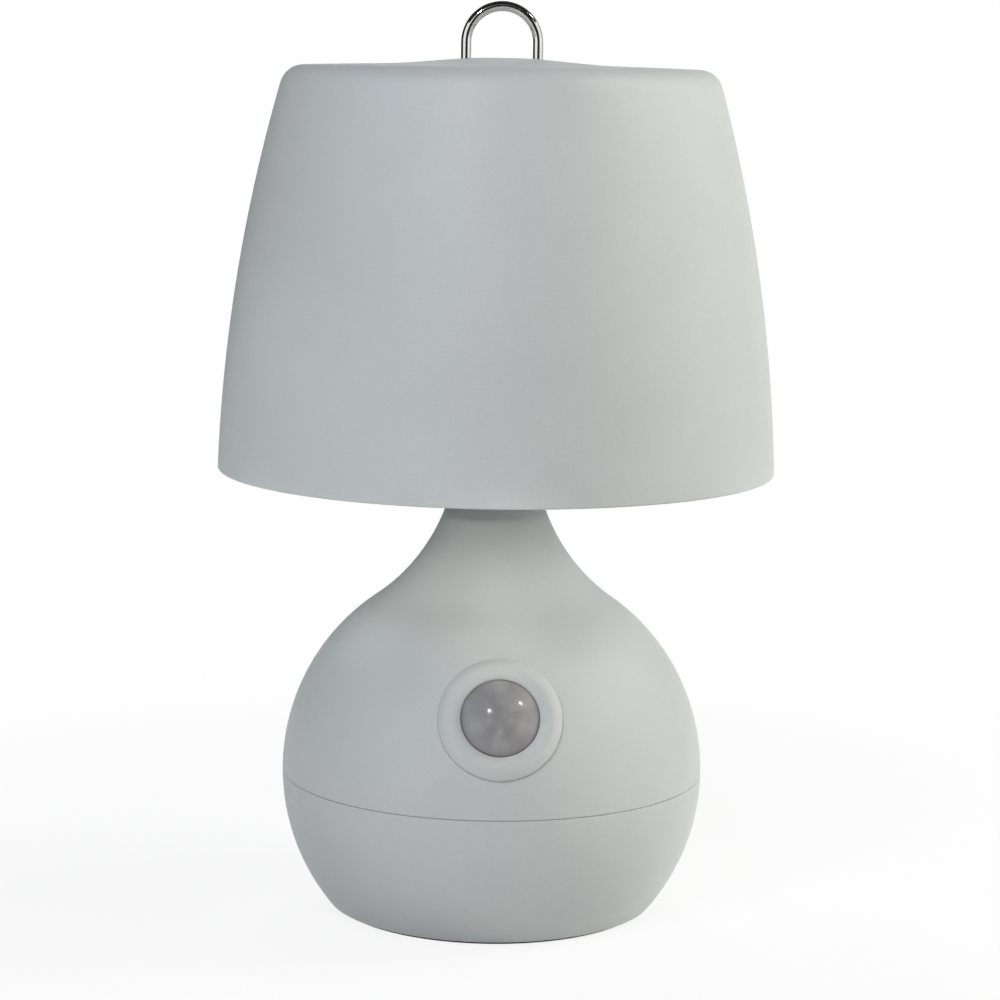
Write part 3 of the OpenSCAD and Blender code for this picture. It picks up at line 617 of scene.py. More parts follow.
def lens_material(name, axis):
    """Milky polyethylene of the sensor's lens, with painted shading: petals lighter in their middles and
    darker where they meet, and a darker round middle, stand in for the facets' tilt, and painted shade
    darkens the rim.
    """
    middle_shade_tone, petal_shading_tones, middle_blur, rim_shade_width, rim_shade_share = 0.93, (1.03, 0.97), 0.2, 1.0, 0.4
    n = Nodes(name)
    place, turn, _ = axis.inverted().decompose()
    mapping = n.tree.nodes.new("ShaderNodeMapping")
    mapping.inputs["Location"].default_value = place * MM
    mapping.inputs["Rotation"].default_value = turn.to_euler()
    n.tree.links.new(n.place, mapping.inputs["Vector"])
    parts = n.tree.nodes.new("ShaderNodeSeparateXYZ")
    n.link(mapping, "Vector", parts, 0)
    x, y = parts.outputs["X"], parts.outputs["Y"]
    radius = n.math("SQRT", n.math("ADD", n.math("MULTIPLY", x, x), n.math("MULTIPLY", y, y)))
    # Painted shading for the facets' tilt: petals lighter in their middles and darker where they meet, and a
    # darker round middle
    wave = n.math("COSINE", n.math("MULTIPLY", n.math("ARCTAN2", y, x), LENS_PETALS))
    petal = n.range(wave, *petal_shading_tones, -0.3, 0.3)
    middle = n.range(radius, 1.0, 0.0, (LENS_MIDDLE_R - middle_blur) * MM, (LENS_MIDDLE_R + middle_blur) * MM)
    ring = n.math("MULTIPLY", n.math("SUBTRACT", 1.0, middle), petal)
    tone = n.math("ADD", n.math("MULTIPLY", middle, middle_shade_tone), ring)
    cloud = n.ramp(n.noise(5, detail=1), LENS_DARK, LENS_LIGHT)
    toned = n.mix(1.0, cloud, tone, "MULTIPLY")
    # Painted shade: the lens darkens towards its rim
    rim = n.range(radius, 0.0, rim_shade_share, (LENS_R - rim_shade_width) * MM, LENS_R * MM)
    n.use(n.mix(rim, toned, LENS_RIM_SHADE), "Base Color")
    n.use(n.range(n.noise(0.8), 0.14, 0.18), "Roughness")
    n.use(n.bump(n.noise(0.5), 0.002), "Normal")
    n.set(Specular_IOR_Level=0.3, Subsurface_Weight=1.0, Subsurface_Scale=1.2 * MM)
    n.set(Subsurface_Radius=(1.0, 0.9, 0.9))


def board_material(name, colour):
    """Circuit board with a solder mask over its tracks."""
    n = Nodes(name)
    tracks = n.cells(2.6, "DISTANCE_TO_EDGE")
    edge = n.range(tracks, 1.0, 0.0, 0.03, 0.06)
    light = tuple(min(1, c * 1.5 + 0.02) for c in colour)
    n.use(n.mix(edge, colour, light), "Base Color")
    n.use(n.range(n.noise(1.2, detail=3), 0.25, 0.4), "Roughness")
    n.use(n.bump(edge, 0.03), "Normal")


def resin(name):
    """Clear resin of a white light, with its phosphor showing inside."""
    n = Nodes(name)
    n.use(n.ramp(n.noise(1.5), (0.86, 0.80, 0.52), (0.95, 0.91, 0.70)), "Base Color")
    n.use(n.range(n.noise(0.6), 0.04, 0.12), "Roughness")
    n.set(Transmission_Weight=0.55, IOR=1.5)


def sleeve(name, colour, band):
    """Printed foil sleeve of a cell, with one plain band."""
    band_y, blur = 12.6, 0.1
    n = Nodes(name)
    axis = n.tree.nodes.new("ShaderNodeSeparateXYZ")
    n.tree.links.new(n.place, axis.inputs[0])
    stripe = n.range(axis.outputs["Y"], 0.0, 1.0, (band_y - blur) * MM, (band_y + blur) * MM)
    n.use(n.mix(stripe, colour, band), "Base Color")
    n.use(n.range(n.noise(1.0, detail=3), 0.22, 0.34), "Roughness")
    n.use(n.bump(n.noise(4.0), 0.02), "Normal")
    n.set(Metallic=0.6)


# The lens's own tones, and the painted shade of its rim
LENS_DARK, LENS_LIGHT, LENS_RIM_SHADE = (0.303, 0.294, 0.3), (0.357, 0.35, 0.354), (0.17, 0.145, 0.143)
SHELL_COLOUR = (0.52, 0.535, 0.535)
moulded("shell_plastic", SHELL_COLOUR)
# The base's plastic is the shell's made 1% lighter: partly its own tone and partly painted light that stands
# in for more light on the base
moulded("base_plastic", scaled(SHELL_COLOUR, 1.01))
moulded("knob_plastic", (0.6, 0.61, 0.6), roughness=0.42)
moulded("deck_plastic", (0.78, 0.79, 0.77), roughness=0.45)
moulded("inner_plastic", (0.48, 0.49, 0.49))
moulded("black_plastic", (0.03, 0.03, 0.033), roughness=0.45, tone=0.1)
rubber("foot_rubber")
polished_wire("loop_steel")
metal("screw_steel", (0.62, 0.62, 0.64), roughness=0.28)
metal("contact_steel", (0.7, 0.69, 0.66), roughness=0.22)
metal("sensor_can", (0.6, 0.58, 0.5), roughness=0.3)
lens_material("lens_plastic", SENSOR_AXIS)
board_material("circuit_board", (0.02, 0.11, 0.045))
board_material("white_board", (0.62, 0.63, 0.6))
resin("led_resin")
sleeve("cell_sleeve", (0.08, 0.085, 0.095), (0.55, 0.33, 0.12))
moulded("light_cell", (0.36, 0.16, 0.06), roughness=0.3)
moulded("capacitor_sleeve", (0.03, 0.04, 0.07), roughness=0.3)
moulded("red_lead", (0.42, 0.02, 0.015), roughness=0.4, depth=0.004)
moulded("black_lead", (0.02, 0.02, 0.02), roughness=0.4, depth=0.004)
moulded("yellow_lead", (0.5, 0.4, 0.03), roughness=0.4, depth=0.004)

# Every CAD node takes the finish of its slot
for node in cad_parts.values():
    for material_slot in node.material_slots:
        material_slot.material = MATERIALS[material_slot.material.name]


# ------------------------------ the base

def bowl_side(inset):
    """Outline of the bowl and the neck, moved inwards, from the bowl's widest up."""
    bowl = arc(BOWL, BOWL_R - inset, 0, NECK_MEETS, 56)
    curve = arc(NECK_CURVE, NECK_CURVE_R + inset, 180 + NECK_MEETS, 180, 48)
    return bowl + curve[1:]


def above(points, z):
    """The points over a height, starting at that height."""
    first = next(i for i, p in enumerate(points) if p[1] > z)
    low, high = points[first - 1], points[first]
    return [between(low, high, (z - low[1]) / (high[1] - low[1]))] + [p for p in points if p[1] > z]


def base_upper():
    seam = BOWL_Z + SEAM_LINE / 2
    cap_z = NECK_TOP_Z - NECK_CAP
    inner_r = NECK_R - WALL
    relief_r = LIP_OUT_R + SLIP
    outer = above(bowl_side(0), seam) + [(NECK_R, NECK_TOP_Z)]
    inner = [(inner_r, cap_z)] + above(bowl_side(WALL), LIP_Z)[::-1]
    hole = run(outer[-1], (NECK_HOLE_R, NECK_TOP_Z), (NECK_HOLE_R, cap_z), inner[0])
    edge = run(inner[-1], (relief_r, LIP_Z), (relief_r, seam), outer[0])
    reaches = [0.3, 0.2, 0.1, 0.3, 0, 0, 0, SEAM_EDGE]
    piece = lathe("base_upper", joined([outer, *hole, inner, *edge], reaches))
    carve(piece, bezel_seat(), switch_seat())
    carve(piece, barrel_hole(), stem_slot())
    dress(piece, "base_plastic", "lamp", ["base_upper_shell"])


def bezel_seat():
    """Cutter for the bezel's round seat in the bowl, whose mouth is slightly rounded."""
    radius, fillet, past = BEZEL_R + BEZEL_GAP, 0.05, 1.06
    middle_r = radius + fillet
    middle = (middle_r, math.sqrt((BOWL_R - fillet) ** 2 - middle_r ** 2))
    mouth = arc(middle, fillet, 180, angle_to((0, 0), middle), 6)
    out = between((0, 0), mouth[-1], past)
    outline = [(0, BEZEL_SEAT_Z), (radius, BEZEL_SEAT_Z)] + mouth + [out, (0, out[1])]
    return lathe("bezel_seat", outline, SENSOR_AXIS)


def barrel_hole():
    radius, low, high = BARREL_R + SLIP, BOWL_R - 12, BEZEL_SEAT_Z + OVERLAP
    outline = [(0, low), (radius, low), (radius, high), (0, high)]
    return lathe("barrel_hole", outline, SENSOR_AXIS, segments=128)


def flared(outline, radius, floor_z, fillet):
    """Loops of a cutter for a pocket in a ball, with a rounded mouth."""
    loops = [at_height(outline, floor_z)]
    for left, gone in quarter():
        loops.append(over_ball(moved_out(outline, fillet * gone), radius - fillet * left))
    loops.append([(x, y, radius + OVER) for x, y, _ in loops[-1]])
    return loops


def switch_seat():
    outline = round_rect(PLATE_W + 2 * SLIP, PLATE_H + 2 * SLIP, PLATE_CORNER + 2 * SLIP)
    return loft("switch_seat", flared(split_long(outline), BOWL_R, SWITCH_FLOOR_Z, fillet=0.3), SWITCH_AXIS)


def stem_slot():
    outline = round_rect(STEM_W + 2 * (KNOB_TRAVEL + KNOB_GAP), STEM_H + 2 * KNOB_GAP, 0.4)
    loops = [at_height(outline, SWITCH_PAD_Z - 3), at_height(outline, SWITCH_FLOOR_Z + OVERLAP)]
    return loft("stem_slot", loops, SWITCH_AXIS)


def degrees_down(height, radius):
    """Angle under the bowl's widest at which a sphere of that radius is that much lower."""
    return math.degrees(math.asin(height / radius))


def base_lower():
    seam = BOWL_Z - SEAM_LINE / 2
    down, up = degrees_down(BOWL_Z - FLOOR_Z, BOWL_R), degrees_down(BOWL_Z - seam, BOWL_R)
    outer = arc(BOWL, BOWL_R, -down, -up, 48)
    in_r = BOWL_R - WALL
    in_down = degrees_down(BOWL_Z - FLOOR_TOP_Z, in_r)
    inner = arc(BOWL, in_r, -degrees_down(LIP_DEPTH, in_r), -in_down, 40)
    inner = [(LIP_IN_R, LIP_Z), (LIP_IN_R, BOWL_Z - LIP_DEPTH)] + inner[1:]
    lip = run(outer[-1], (LIP_OUT_R, seam), (LIP_OUT_R, LIP_Z), (LIP_IN_R, LIP_Z))
    groove_out, groove_in = FOOT_OUT_R + SLIP, FOOT_IN_R - SLIP
    groove = run((0, FLOOR_Z), (groove_in, FLOOR_Z), (groove_in, FOOT_TOP_Z), (groove_out, FOOT_TOP_Z),
                 (groove_out, FLOOR_Z), outer[0])
    stretches = [outer, *lip, inner, [inner[-1], (0, FLOOR_TOP_Z)], *groove]
    reaches = [SEAM_EDGE, 0, 0.2, 0.2, 0.6, None, 0.15, 0, 0, 0.15, 0.55]
    piece = lathe("base_lower", joined(stretches, reaches))
    add(piece, *[boss(x, y) for x, y in SCREWS])
    carve(piece, door_opening(), *[counterbore(x, y) for x, y in SCREWS])
    dress(piece, "base_plastic", "lamp", ["base_lower_shell"])


def boss(x, y):
    low_z = FLOOR_TOP_Z - 1
    outline = polygon([(0, low_z, 0), (BOSS_R, low_z, 0), (BOSS_R, BOSS_TOP_Z, 0.3), (0, BOSS_TOP_Z, 0)])
    return lathe("boss", outline, Matrix.Translation((x, y, 0)), SMALL_SEGMENTS)


def counterbore(x, y):
    """Cutter for a case screw's deep hole, with a rounded mouth under the floor."""
    fillet, past_z = 0.5, BOSS_TOP_Z + 1
    mouth_r = HEAD_HOLE_R + fillet
    mouth = arc((mouth_r, FLOOR_Z + fillet), fillet, 270, 180, 5)
    outline = [(0, FLOOR_Z - OVER), (mouth_r, FLOOR_Z - OVER)] + mouth
    outline += [(HEAD_HOLE_R, HEAD_HOLE_TOP_Z), (SCREW_HOLE_R, HEAD_HOLE_TOP_Z), (SCREW_HOLE_R, past_z),
                (0, past_z)]
    return lathe("counterbore", outline, Matrix.Translation((x, y, 0)), SMALL_SEGMENTS)


def door_opening():
    """Cutter for the battery door's opening, with a rounded edge under the floor."""
    fillet, reach = 0.35, 0.8
    x = DOOR_HALF_W + DOOR_GAP
    low_y, high_y = DOOR_LOW_Y - DOOR_GAP, DOOR_END_Y + DOOR_GAP
    outline = polygon([(-x, low_y, reach), (x, low_y, reach), (x, high_y, reach), (-x, high_y, reach)])
    loops = [at_height(moved_out(outline, fillet), FLOOR_Z - OVER)]
    for left, gone in quarter():
        loops.append(at_height(moved_out(outline, fillet * left), FLOOR_Z + fillet * gone))
    loops.append(at_height(outline, FLOOR_TOP_Z + OVER))
    return loft("door_opening", loops)


def foot():
    under, over = 0.45, 0.1
    outline = polygon([(FOOT_IN_R, 0, under), (FOOT_OUT_R, 0, under),
                       (FOOT_OUT_R, FOOT_TOP_Z, over), (FOOT_IN_R, FOOT_TOP_Z, over)])
    dress(lathe("foot", outline), "foot_rubber", "lamp", ["foot_ring"])


def door():
    """Battery door with its latch tongue and thumb grooves, and the round hinge edge with its pins."""
    middle_z = FLOOR_Z + DOOR_HALF_T
    w, t = DOOR_HALF_W, DOOR_HALF_T
    tongue_x = (LATCH_W - LATCH_SLOT) / 2
    slot_x = tongue_x + LATCH_SLOT
    root_y = DOOR_END_Y - LATCH_L
    right = [(w, DOOR_HINGE_Y, 0), (w, DOOR_END_Y, 0.8), (slot_x, DOOR_END_Y, 0.4), (slot_x, root_y, 0.35),
             (tongue_x, root_y, 0.35), (tongue_x, DOOR_END_Y, 0.6)]
    left = [(-x, y, reach) for x, y, reach in reversed(right)]
    corners = left[-1:] + right + left[:-1]
    panel = slab("door", polygon(corners), FLOOR_Z, FLOOR_TOP_Z, edge=0.25)
    chamfer, pin_x = 0.15, w + DOOR_PIN_L
    hinge = [(t, w - chamfer), (t - chamfer, w), (DOOR_PIN_R, w), (DOOR_PIN_R, pin_x - chamfer),
             (DOOR_PIN_R - chamfer, pin_x), (0, pin_x)]
    add(panel, lathe("door_hinge", mirrored(hinge), lying(DOOR_HINGE_Y, middle_z), 48))
    first_groove, groove_pitch, lip_in = 3, 2, 0.3
    carve(panel, *[thumb_groove(DOOR_END_Y - first_groove - groove_pitch * k) for k in range(3)])
    lip = mirrored([(0.5, 4.9), (0.4, 5), (0, 5)])
    add(panel, lathe("latch_lip", lip, lying(DOOR_END_Y - lip_in, middle_z), 32))
    dress(panel, "base_plastic", "door", ["battery_door"])


def thumb_groove(y):
    radius, half = 0.75, 4.5
    end = arc((0, half - radius), radius, 0, 90, 5)[:-1] + [(0, half)]
    return lathe("groove", mirrored(end), lying(y, FLOOR_Z), 32)


# ------------------------------ the sensor

def swell(start, start_slope, end, end_slope, steps):
    """Smooth curve inwards between two points, with its rise in degrees at each end."""
    reach_share = 0.36
    reach = math.dist(start, end) * reach_share
    a, b = math.radians(start_slope), math.radians(end_slope)
    first = (start[0] - reach * math.cos(a), start[1] + reach * math.sin(a))
    second = (end[0] + reach * math.cos(b), end[1] - reach * math.sin(b))
    return cubic((start, first, second, end), steps)


def bezel():
    """Ring round the lens, a low swelling that falls to the lens, and the barrel behind it."""
    bore_r, bore_z = LENS_R + SLIP, BOWL_R - 0.25
    barrel_z = BEZEL_SEAT_Z - BARREL_L
    crest = (CREST_R, CREST_Z)
    outer = swell((BEZEL_R, BEZEL_EDGE_Z + BEZEL_RISE), 52, crest, 0, 14)
    inner = swell(crest, 0, (bore_r, bore_z), -30, 12)
    bottom = (BEZEL_R, BEZEL_SEAT_Z)
    behind = run(inner[-1], (bore_r, LENS_SHOULDER_Z), (BARREL_IN_R, LENS_SHOULDER_Z),
                 (BARREL_IN_R, barrel_z), (BARREL_R, barrel_z), (BARREL_R, BEZEL_SEAT_Z), bottom)
    outline = joined([[bottom, outer[0]], outer + inner[1:], *behind], [0.35, 0.14, 0, 0, 0.2, 0.2, 0, 0.1])
    dress(lathe("bezel", outline, SENSOR_AXIS), "base_plastic", "lamp", ["sensor_bezel"])


def steps_to(start, end, count):
    """Even steps from a start, which is left out, to an end."""
    return [start + (end - start) * k / count for k in range(1, count + 1)]


def lens():
    """Milky dome with a round middle lens and a ring of petal lenses, each bulging slightly."""
    bulge, fullness, crease, segments = 0.03, 0.7, 0.06, 240
    rim_in, rim_soft, rim_drop, inner_drop = 0.25, 0.08, 0.15, 0.3
    inside_radii = (7.6, 6.8, 5.6, 4.2, 2.8, 1.4)
    ball = (LENS_R ** 2 + LENS_DOME ** 2) / (2 * LENS_DOME)
    ball_z = LENS_RIM_Z + LENS_DOME - ball

    def height(r, turn):
        z = ball_z + math.sqrt(ball ** 2 - r * r)
        if r <= LENS_MIDDLE_R:
            return z - bulge * (r / LENS_MIDDLE_R) ** 2
        if r <= LENS_PETAL_R:
            across = math.sin(math.pi * (turn / (2 * math.pi) * LENS_PETALS % 1))
            way = (r - LENS_MIDDLE_R) / (LENS_PETAL_R - LENS_MIDDLE_R)
            along = max(0, math.sin(math.pi * way)) ** fullness
            return z - bulge + bulge * across * along
        return z - bulge * (LENS_R - r) / (LENS_R - LENS_PETAL_R)

    petals_in, petals_out = LENS_MIDDLE_R + crease, LENS_PETAL_R + crease
    radii = steps_to(0, LENS_MIDDLE_R, 8) + [petals_in] + steps_to(petals_in, LENS_PETAL_R, 22)
    radii += [petals_out] + steps_to(petals_out, LENS_R - rim_in, 5)
    flange_z, inner_r, inner_ball = LENS_SHOULDER_Z - FLANGE_T, LENS_R - LENS_WALL, ball - LENS_WALL
    side = [(LENS_R - rim_soft, LENS_RIM_Z + rim_soft), (LENS_R, LENS_RIM_Z - rim_drop),
            (LENS_R, LENS_SHOULDER_Z), (FLANGE_R, LENS_SHOULDER_Z), (FLANGE_R, flange_z),
            (inner_r, flange_z), (inner_r, LENS_RIM_Z - inner_drop)]
    side += [(r, ball_z + math.sqrt(inner_ball ** 2 - r * r)) for r in inside_radii]
    bm = bmesh.new()
    turns = full_turn(segments)
    top = bm.verts.new((0, 0, height(0, 0)))
    rings = [[bm.verts.new((r * math.cos(t), r * math.sin(t), height(r, t))) for t in turns] for r in radii]
    rings += [circle(bm, r, z, turns) for r, z in side]
    bottom = bm.verts.new((0, 0, ball_z + inner_ball))
    for k in range(segments):
        n = (k + 1) % segments
        bm.faces.new((top, rings[0][k], rings[0][n]))
        bm.faces.new((bottom, rings[-1][n], rings[-1][k]))
        for low, high in zip(rings, rings[1:]):
            bm.faces.new((low[k], high[k], high[n], low[n]))
    piece = finished("lens", bm, SENSOR_AXIS)
    dress(piece, "lens_plastic", "lamp", ["sensor_lens"], sharp=50)


# ------------------------------ the switch

def switch_cover():
    """Plate that follows the bowl, with the window that the knob slides in."""
    edge, window_edge, inner_rings = 0.3, 0.25, 5
    outline = split_long(round_rect(PLATE_W, PLATE_H, PLATE_CORNER))
    loops = [at_height(outline, SWITCH_FLOOR_Z)]
    for left, gone in quarter():
        loops.append(over_ball(moved_out(outline, -edge * gone), PLATE_TOP_R - edge * left))
    rim = loops[-1]
    for k in range(1, inner_rings):
        share = 1 - k / inner_rings
        loops.append(over_ball([(x * share, y * share) for x, y, _ in rim], PLATE_TOP_R))
    plate = loft("switch_cover", loops, SWITCH_AXIS)
    window = round_rect(KNOB_W + 2 * (KNOB_TRAVEL + KNOB_GAP), KNOB_H + 2 * KNOB_GAP, 0.8)
    cutter = flared(split_long(window), PLATE_TOP_R, SWITCH_FLOOR_Z - 1, window_edge)
    carve(plate, loft("window", cutter, SWITCH_AXIS))
    dress(plate, "base_plastic", "lamp", ["switch_plate"])


def knob():
    """Ridged knob, with the stem that reaches the switch."""
    low = SWITCH_FLOOR_Z + KNOB_GAP
    piece = slab("knob", round_rect(KNOB_W, KNOB_H, 0.7), low, KNOB_TOP_Z, edge=0.35, place=SWITCH_AXIS)
    carve(piece, *[ridge_cut(x) for x in range(-3, 4)])
    stem_outline, stem_low, into_knob = round_rect(STEM_W, STEM_H, 0.2), SWITCH_PAD_Z - 1.4, 0.2
    add(piece, slab("stem", stem_outline, stem_low, low + into_knob, edge=0.1, place=SWITCH_AXIS))
    dress(piece, "knob_plastic", "knob", ["switch_knob"])


def ridge_cut(x):
    radius, half, lift = 0.34, 4, 0.08
    place = SWITCH_AXIS @ Matrix.Translation((x, 0, KNOB_TOP_Z + lift)) @ Matrix.Rotation(math.pi / 2, 4, "X")
    return lathe("ridge", mirrored([(radius, half), (0, half)]), place, 20)


# ------------------------------ the shade

def circle_middle(a, b, radius):
    """Middle of the circle through a and b that lies to the left of the way from a to b."""
    a, b = Vector(a), Vector(b)
    way = b - a
    side = Vector((-way.y, way.x)).normalized()
    return tuple((a + b) / 2 + side * math.sqrt(radius ** 2 - way.length_squared / 4))


def circles_meet(a, radius_a, b, radius_b):
    """Point where two circles meet, to the left of the way from a to b."""
    a, b = Vector(a), Vector(b)
    way = b - a
    u = way.normalized()
    along = (way.length_squared + radius_a ** 2 - radius_b ** 2) / (2 * way.length)
    return tuple(a + u * along + Vector((-u.y, u.x)) * math.sqrt(radius_a ** 2 - along ** 2))


SIDE = circle_middle(SHADE_LOW, SHADE_SHOULDER, SHADE_SIDE_R)
SHOULDER = circles_meet(SIDE, SHADE_SIDE_R - SHADE_CORNER_R, CROWN, CROWN_R - SHADE_CORNER_R)


def cap_height(r):
    """Height of the crown's low middle cap over the crown's own curve."""
    t = min(1, max(0, (r - CAP_IN_R) / (CAP_OUT_R - CAP_IN_R)))
    return CAP_H * (1 - t * t * (3 - 2 * t))


def crown_height(x, y):
    r = math.hypot(x, y)
    return CROWN[1] + math.sqrt(CROWN_R ** 2 - r * r) + cap_height(r)


def shade_skin(inset):
    """Side, shoulder and crown of the shade, moved inwards, from the rim up to the axis."""
    side_r = SHADE_SIDE_R - inset
    start = math.degrees(math.asin((SHADE_LOW[1] - SIDE[1]) / side_r))
    side_end, crown_start = angle_to(SIDE, SHOULDER), angle_to(CROWN, SHOULDER)
    side = arc(SIDE, side_r, start, side_end, 40)
    shoulder = arc(SHOULDER, SHADE_CORNER_R - inset, side_end, crown_start, 16)
    crown = arc(CROWN, CROWN_R - inset, crown_start, 90, 44)
    return side + shoulder[1:] + [(max(0.0, r), z + cap_height(r)) for r, z in crown[1:]]


def shade():
    outer = shade_skin(0)
    outer[-1] = (0, outer[-1][1])
    pad_top = (PAD_R, crown_height(PAD_R, 0) - WALL)
    inner = ([p for p in shade_skin(WALL) if p[0] > PAD_R] + [pad_top])[::-1]
    pad = run((0, PAD_Z), (PAD_R, PAD_Z), pad_top)
    stretches = [outer, *pad, inner, [inner[-1], outer[0]]]
    piece = lathe("lamp_shade", joined(stretches, [None, 0.6, 0.6, 0.5, 0.5]))
    add(piece, *[post(turn) for turn in POST_ANGLES])
    carve(piece, loop_groove())
    carve(piece, finger_scoop(), pin_bore())
    dress(piece, "shell_plastic", "lamp", ["shade"])


def post(turn):
    spot = Matrix.Rotation(math.radians(turn), 4, "Z") @ Matrix.Translation((POST_RING_R, 0, 0))
    outline = polygon([(0, DECK_TOP_Z, 0), (POST_R, DECK_TOP_Z, 0.3),
                       (POST_R, POST_TOP_Z, 0), (0, POST_TOP_Z, 0)])
    return lathe("post", outline, spot, SMALL_SEGMENTS)


def loop_groove():
    """Cutter for the groove that the folded loop lies in, with a rounded mouth and floor."""
    reach, floor_edge, fillet = 0.6, 0.2, 0.4
    over_crown_z = CROWN_Z + 1
    out_r, in_r = LEG_X + GROOVE_HALF, LEG_X - GROOVE_HALF
    end = -GROOVE_HALF
    outer = [(out_r, end)] + arc((0, LEG_L), out_r, 0, 180, 48) + [(-out_r, end)]
    inner = [(-in_r, end)] + arc((0, LEG_L), in_r, 180, 0, 36) + [(in_r, end)]
    stretches = [outer, [outer[-1], inner[0]], inner, [inner[-1], outer[0]]]
    outline = joined(stretches, [reach] * 4)
    loops = [at_height(moved_out(outline, -floor_edge), GROOVE_FLOOR_Z),
             at_height(outline, GROOVE_FLOOR_Z + floor_edge)]
    for left, gone in quarter(5):
        mouth = moved_out(outline, fillet * gone)
        loops.append([(x, y, crown_height(x, y) - fillet * left) for x, y in mouth])
    loops.append([(x, y, over_crown_z) for x, y, _ in loops[-1]])
    return loft("loop_groove", loops)


def finger_scoop():
    """Cutter for the round hollow at the groove's end, where a fingertip lifts the loop."""
    low = (0, SCOOP_R - SCOOP_DEPTH)
    lip_x = math.sqrt((SCOOP_R + SCOOP_FILLET) ** 2 - (low[1] + SCOOP_FILLET) ** 2)
    middle = (lip_x, -SCOOP_FILLET)
    meets = angle_to(low, middle)
    ball = arc(low, SCOOP_R, -90, meets, 24)
    lip = arc(middle, SCOOP_FILLET, 180 + meets, 90, 6)
    outline = [(0.0, ball[0][1])] + ball[1:] + lip[1:] + [(lip[-1][0], OVER), (0, OVER)]
    y = LEG_L + LEG_X + WIRE_R
    tilt = math.atan((crown_height(0, y - SCOOP_R / 2) - crown_height(0, y + SCOOP_R / 2)) / SCOOP_R)
    place = Matrix.Translation((0, y, crown_height(0, y))) @ Matrix.Rotation(-tilt, 4, "X")
    return lathe("finger_scoop", outline, place, 96)


def pin_bore():
    return lathe("pin_bore", mirrored([(WIRE_R + PIN_FIT, LEG_X), (0, LEG_X)]), lying(0, HINGE_Z), 48)


def loop():
    """Bent wire: a half circle, two legs and the pins that they turn into."""
    pin_x = LEG_X - BEND_R
    pin_end = pin_x - PIN_L
    half = [(pin_end, HINGE_Z), (pin_end + 0.2, HINGE_Z), (pin_x, HINGE_Z)]
    half += arc((pin_x, HINGE_Z + BEND_R), BEND_R, -90, 0, 10)[1:]
    half += arc((0, LOOP_ARC_Z), LEG_X, 0, 90, 40)
    path = half + [(-x, z) for x, z in reversed(half[:-1])]
    piece = tube("loop", [(x, 0, z) for x, z in path], WIRE_R, SMALL_SEGMENTS)
    dress(piece, "loop_steel", "loop", ["hang_loop"], sharp=40)


base_upper()
base_lower()
foot()
door()
bezel()
lens()
switch_cover()
knob()
shade()
loop()


# ------------------------------ studio, in metres and degrees

def looked_at(tree):
    """1 for what the camera sees, straight or in a reflection or a clear piece, and 0 for lighting."""
    path = tree.nodes.new("ShaderNodeLightPath")
    most = path.outputs["Is Camera Ray"]
    for kind in ("Is Glossy Ray", "Is Transmission Ray"):
        node = tree.nodes.new("ShaderNodeMath")
        node.operation = "MAXIMUM"
        tree.links.new(most, node.inputs[0])
        tree.links.new(path.outputs[kind], node.inputs[1])
        most = node.outputs[0]
    return most


def stage_material(name, albedo, near, far):
    """Pale floor: up to near it shows its shadows, and from far on it is the plain backdrop."""
    material = bare_material(name)
    tree = material.node_tree
    new, link = tree.nodes.new, tree.links.new
    diffuse = new("ShaderNodeBsdfDiffuse")
    diffuse.inputs["Color"].default_value = (albedo, albedo, albedo, 1)
    white = new("ShaderNodeEmission")
    white.inputs["Strength"].default_value = 1
    distance = new("ShaderNodeVectorMath")
    distance.operation = "LENGTH"
    link(new("ShaderNodeTexCoord").outputs["Object"], distance.inputs[0])
    backdrop = new("ShaderNodeMapRange")
    backdrop.interpolation_type = "SMOOTHSTEP"
    link(distance.outputs["Value"], backdrop.inputs["Value"])
    for inlet, value in (("From Min", near), ("From Max", far), ("To Min", albedo), ("To Max", 1.0)):
        backdrop.inputs[inlet].default_value = value
    share = new("ShaderNodeMath")
    share.operation = "MULTIPLY"
    link(looked_at(tree), share.inputs[0])
    link(backdrop.outputs[0], share.inputs[1])
    mix = new("ShaderNodeMixShader")
    link(share.outputs[0], mix.inputs[0])
    link(diffuse.outputs[0], mix.inputs[1])
    link(white.outputs[0], mix.inputs[2])
    link(mix.outputs[0], new("ShaderNodeOutputMaterial").inputs["Surface"])
    return material


def flag_material(name, level):
    material = bare_material(name)
    tree = material.node_tree
    glow = tree.nodes.new("ShaderNodeEmission")
    glow.inputs["Color"].default_value = (level, level, level, 1)
    tree.links.new(glow.outputs[0], tree.nodes.new("ShaderNodeOutputMaterial").inputs["Surface"])
    return material


def studio_world(ambient):
    """White where it is looked at, and only a little light of its own."""
    world = bpy.data.worlds.new("studio")
    bpy.context.scene.world = world
    world.use_nodes = True
    tree = world.node_tree
    tree.nodes.clear()
    level = tree.nodes.new("ShaderNodeMapRange")
    tree.links.new(looked_at(tree), level.inputs["Value"])
    level.inputs["To Min"].default_value = ambient
    level.inputs["To Max"].default_value = 1.0
    background = tree.nodes.new("ShaderNodeBackground")
    background.inputs["Color"].default_value = (1, 1, 1, 1)
    tree.links.new(level.outputs[0], background.inputs["Strength"])
    output = tree.nodes.new("ShaderNodeOutputWorld")
    tree.links.new(background.outputs[0], output.inputs["Surface"])


def plane(name, size, material, place):
    mesh = bpy.data.meshes.new(name)
    h = size / 2
    mesh.from_pydata([(-h, -h, 0), (h, -h, 0), (h, h, 0), (-h, h, 0)], [], [(0, 1, 2, 3)])
    mesh.materials.append(material)
    piece = bpy.data.objects.new(name, mesh)
    piece.matrix_world = place
    bpy.context.scene.collection.objects.link(piece)
    return piece


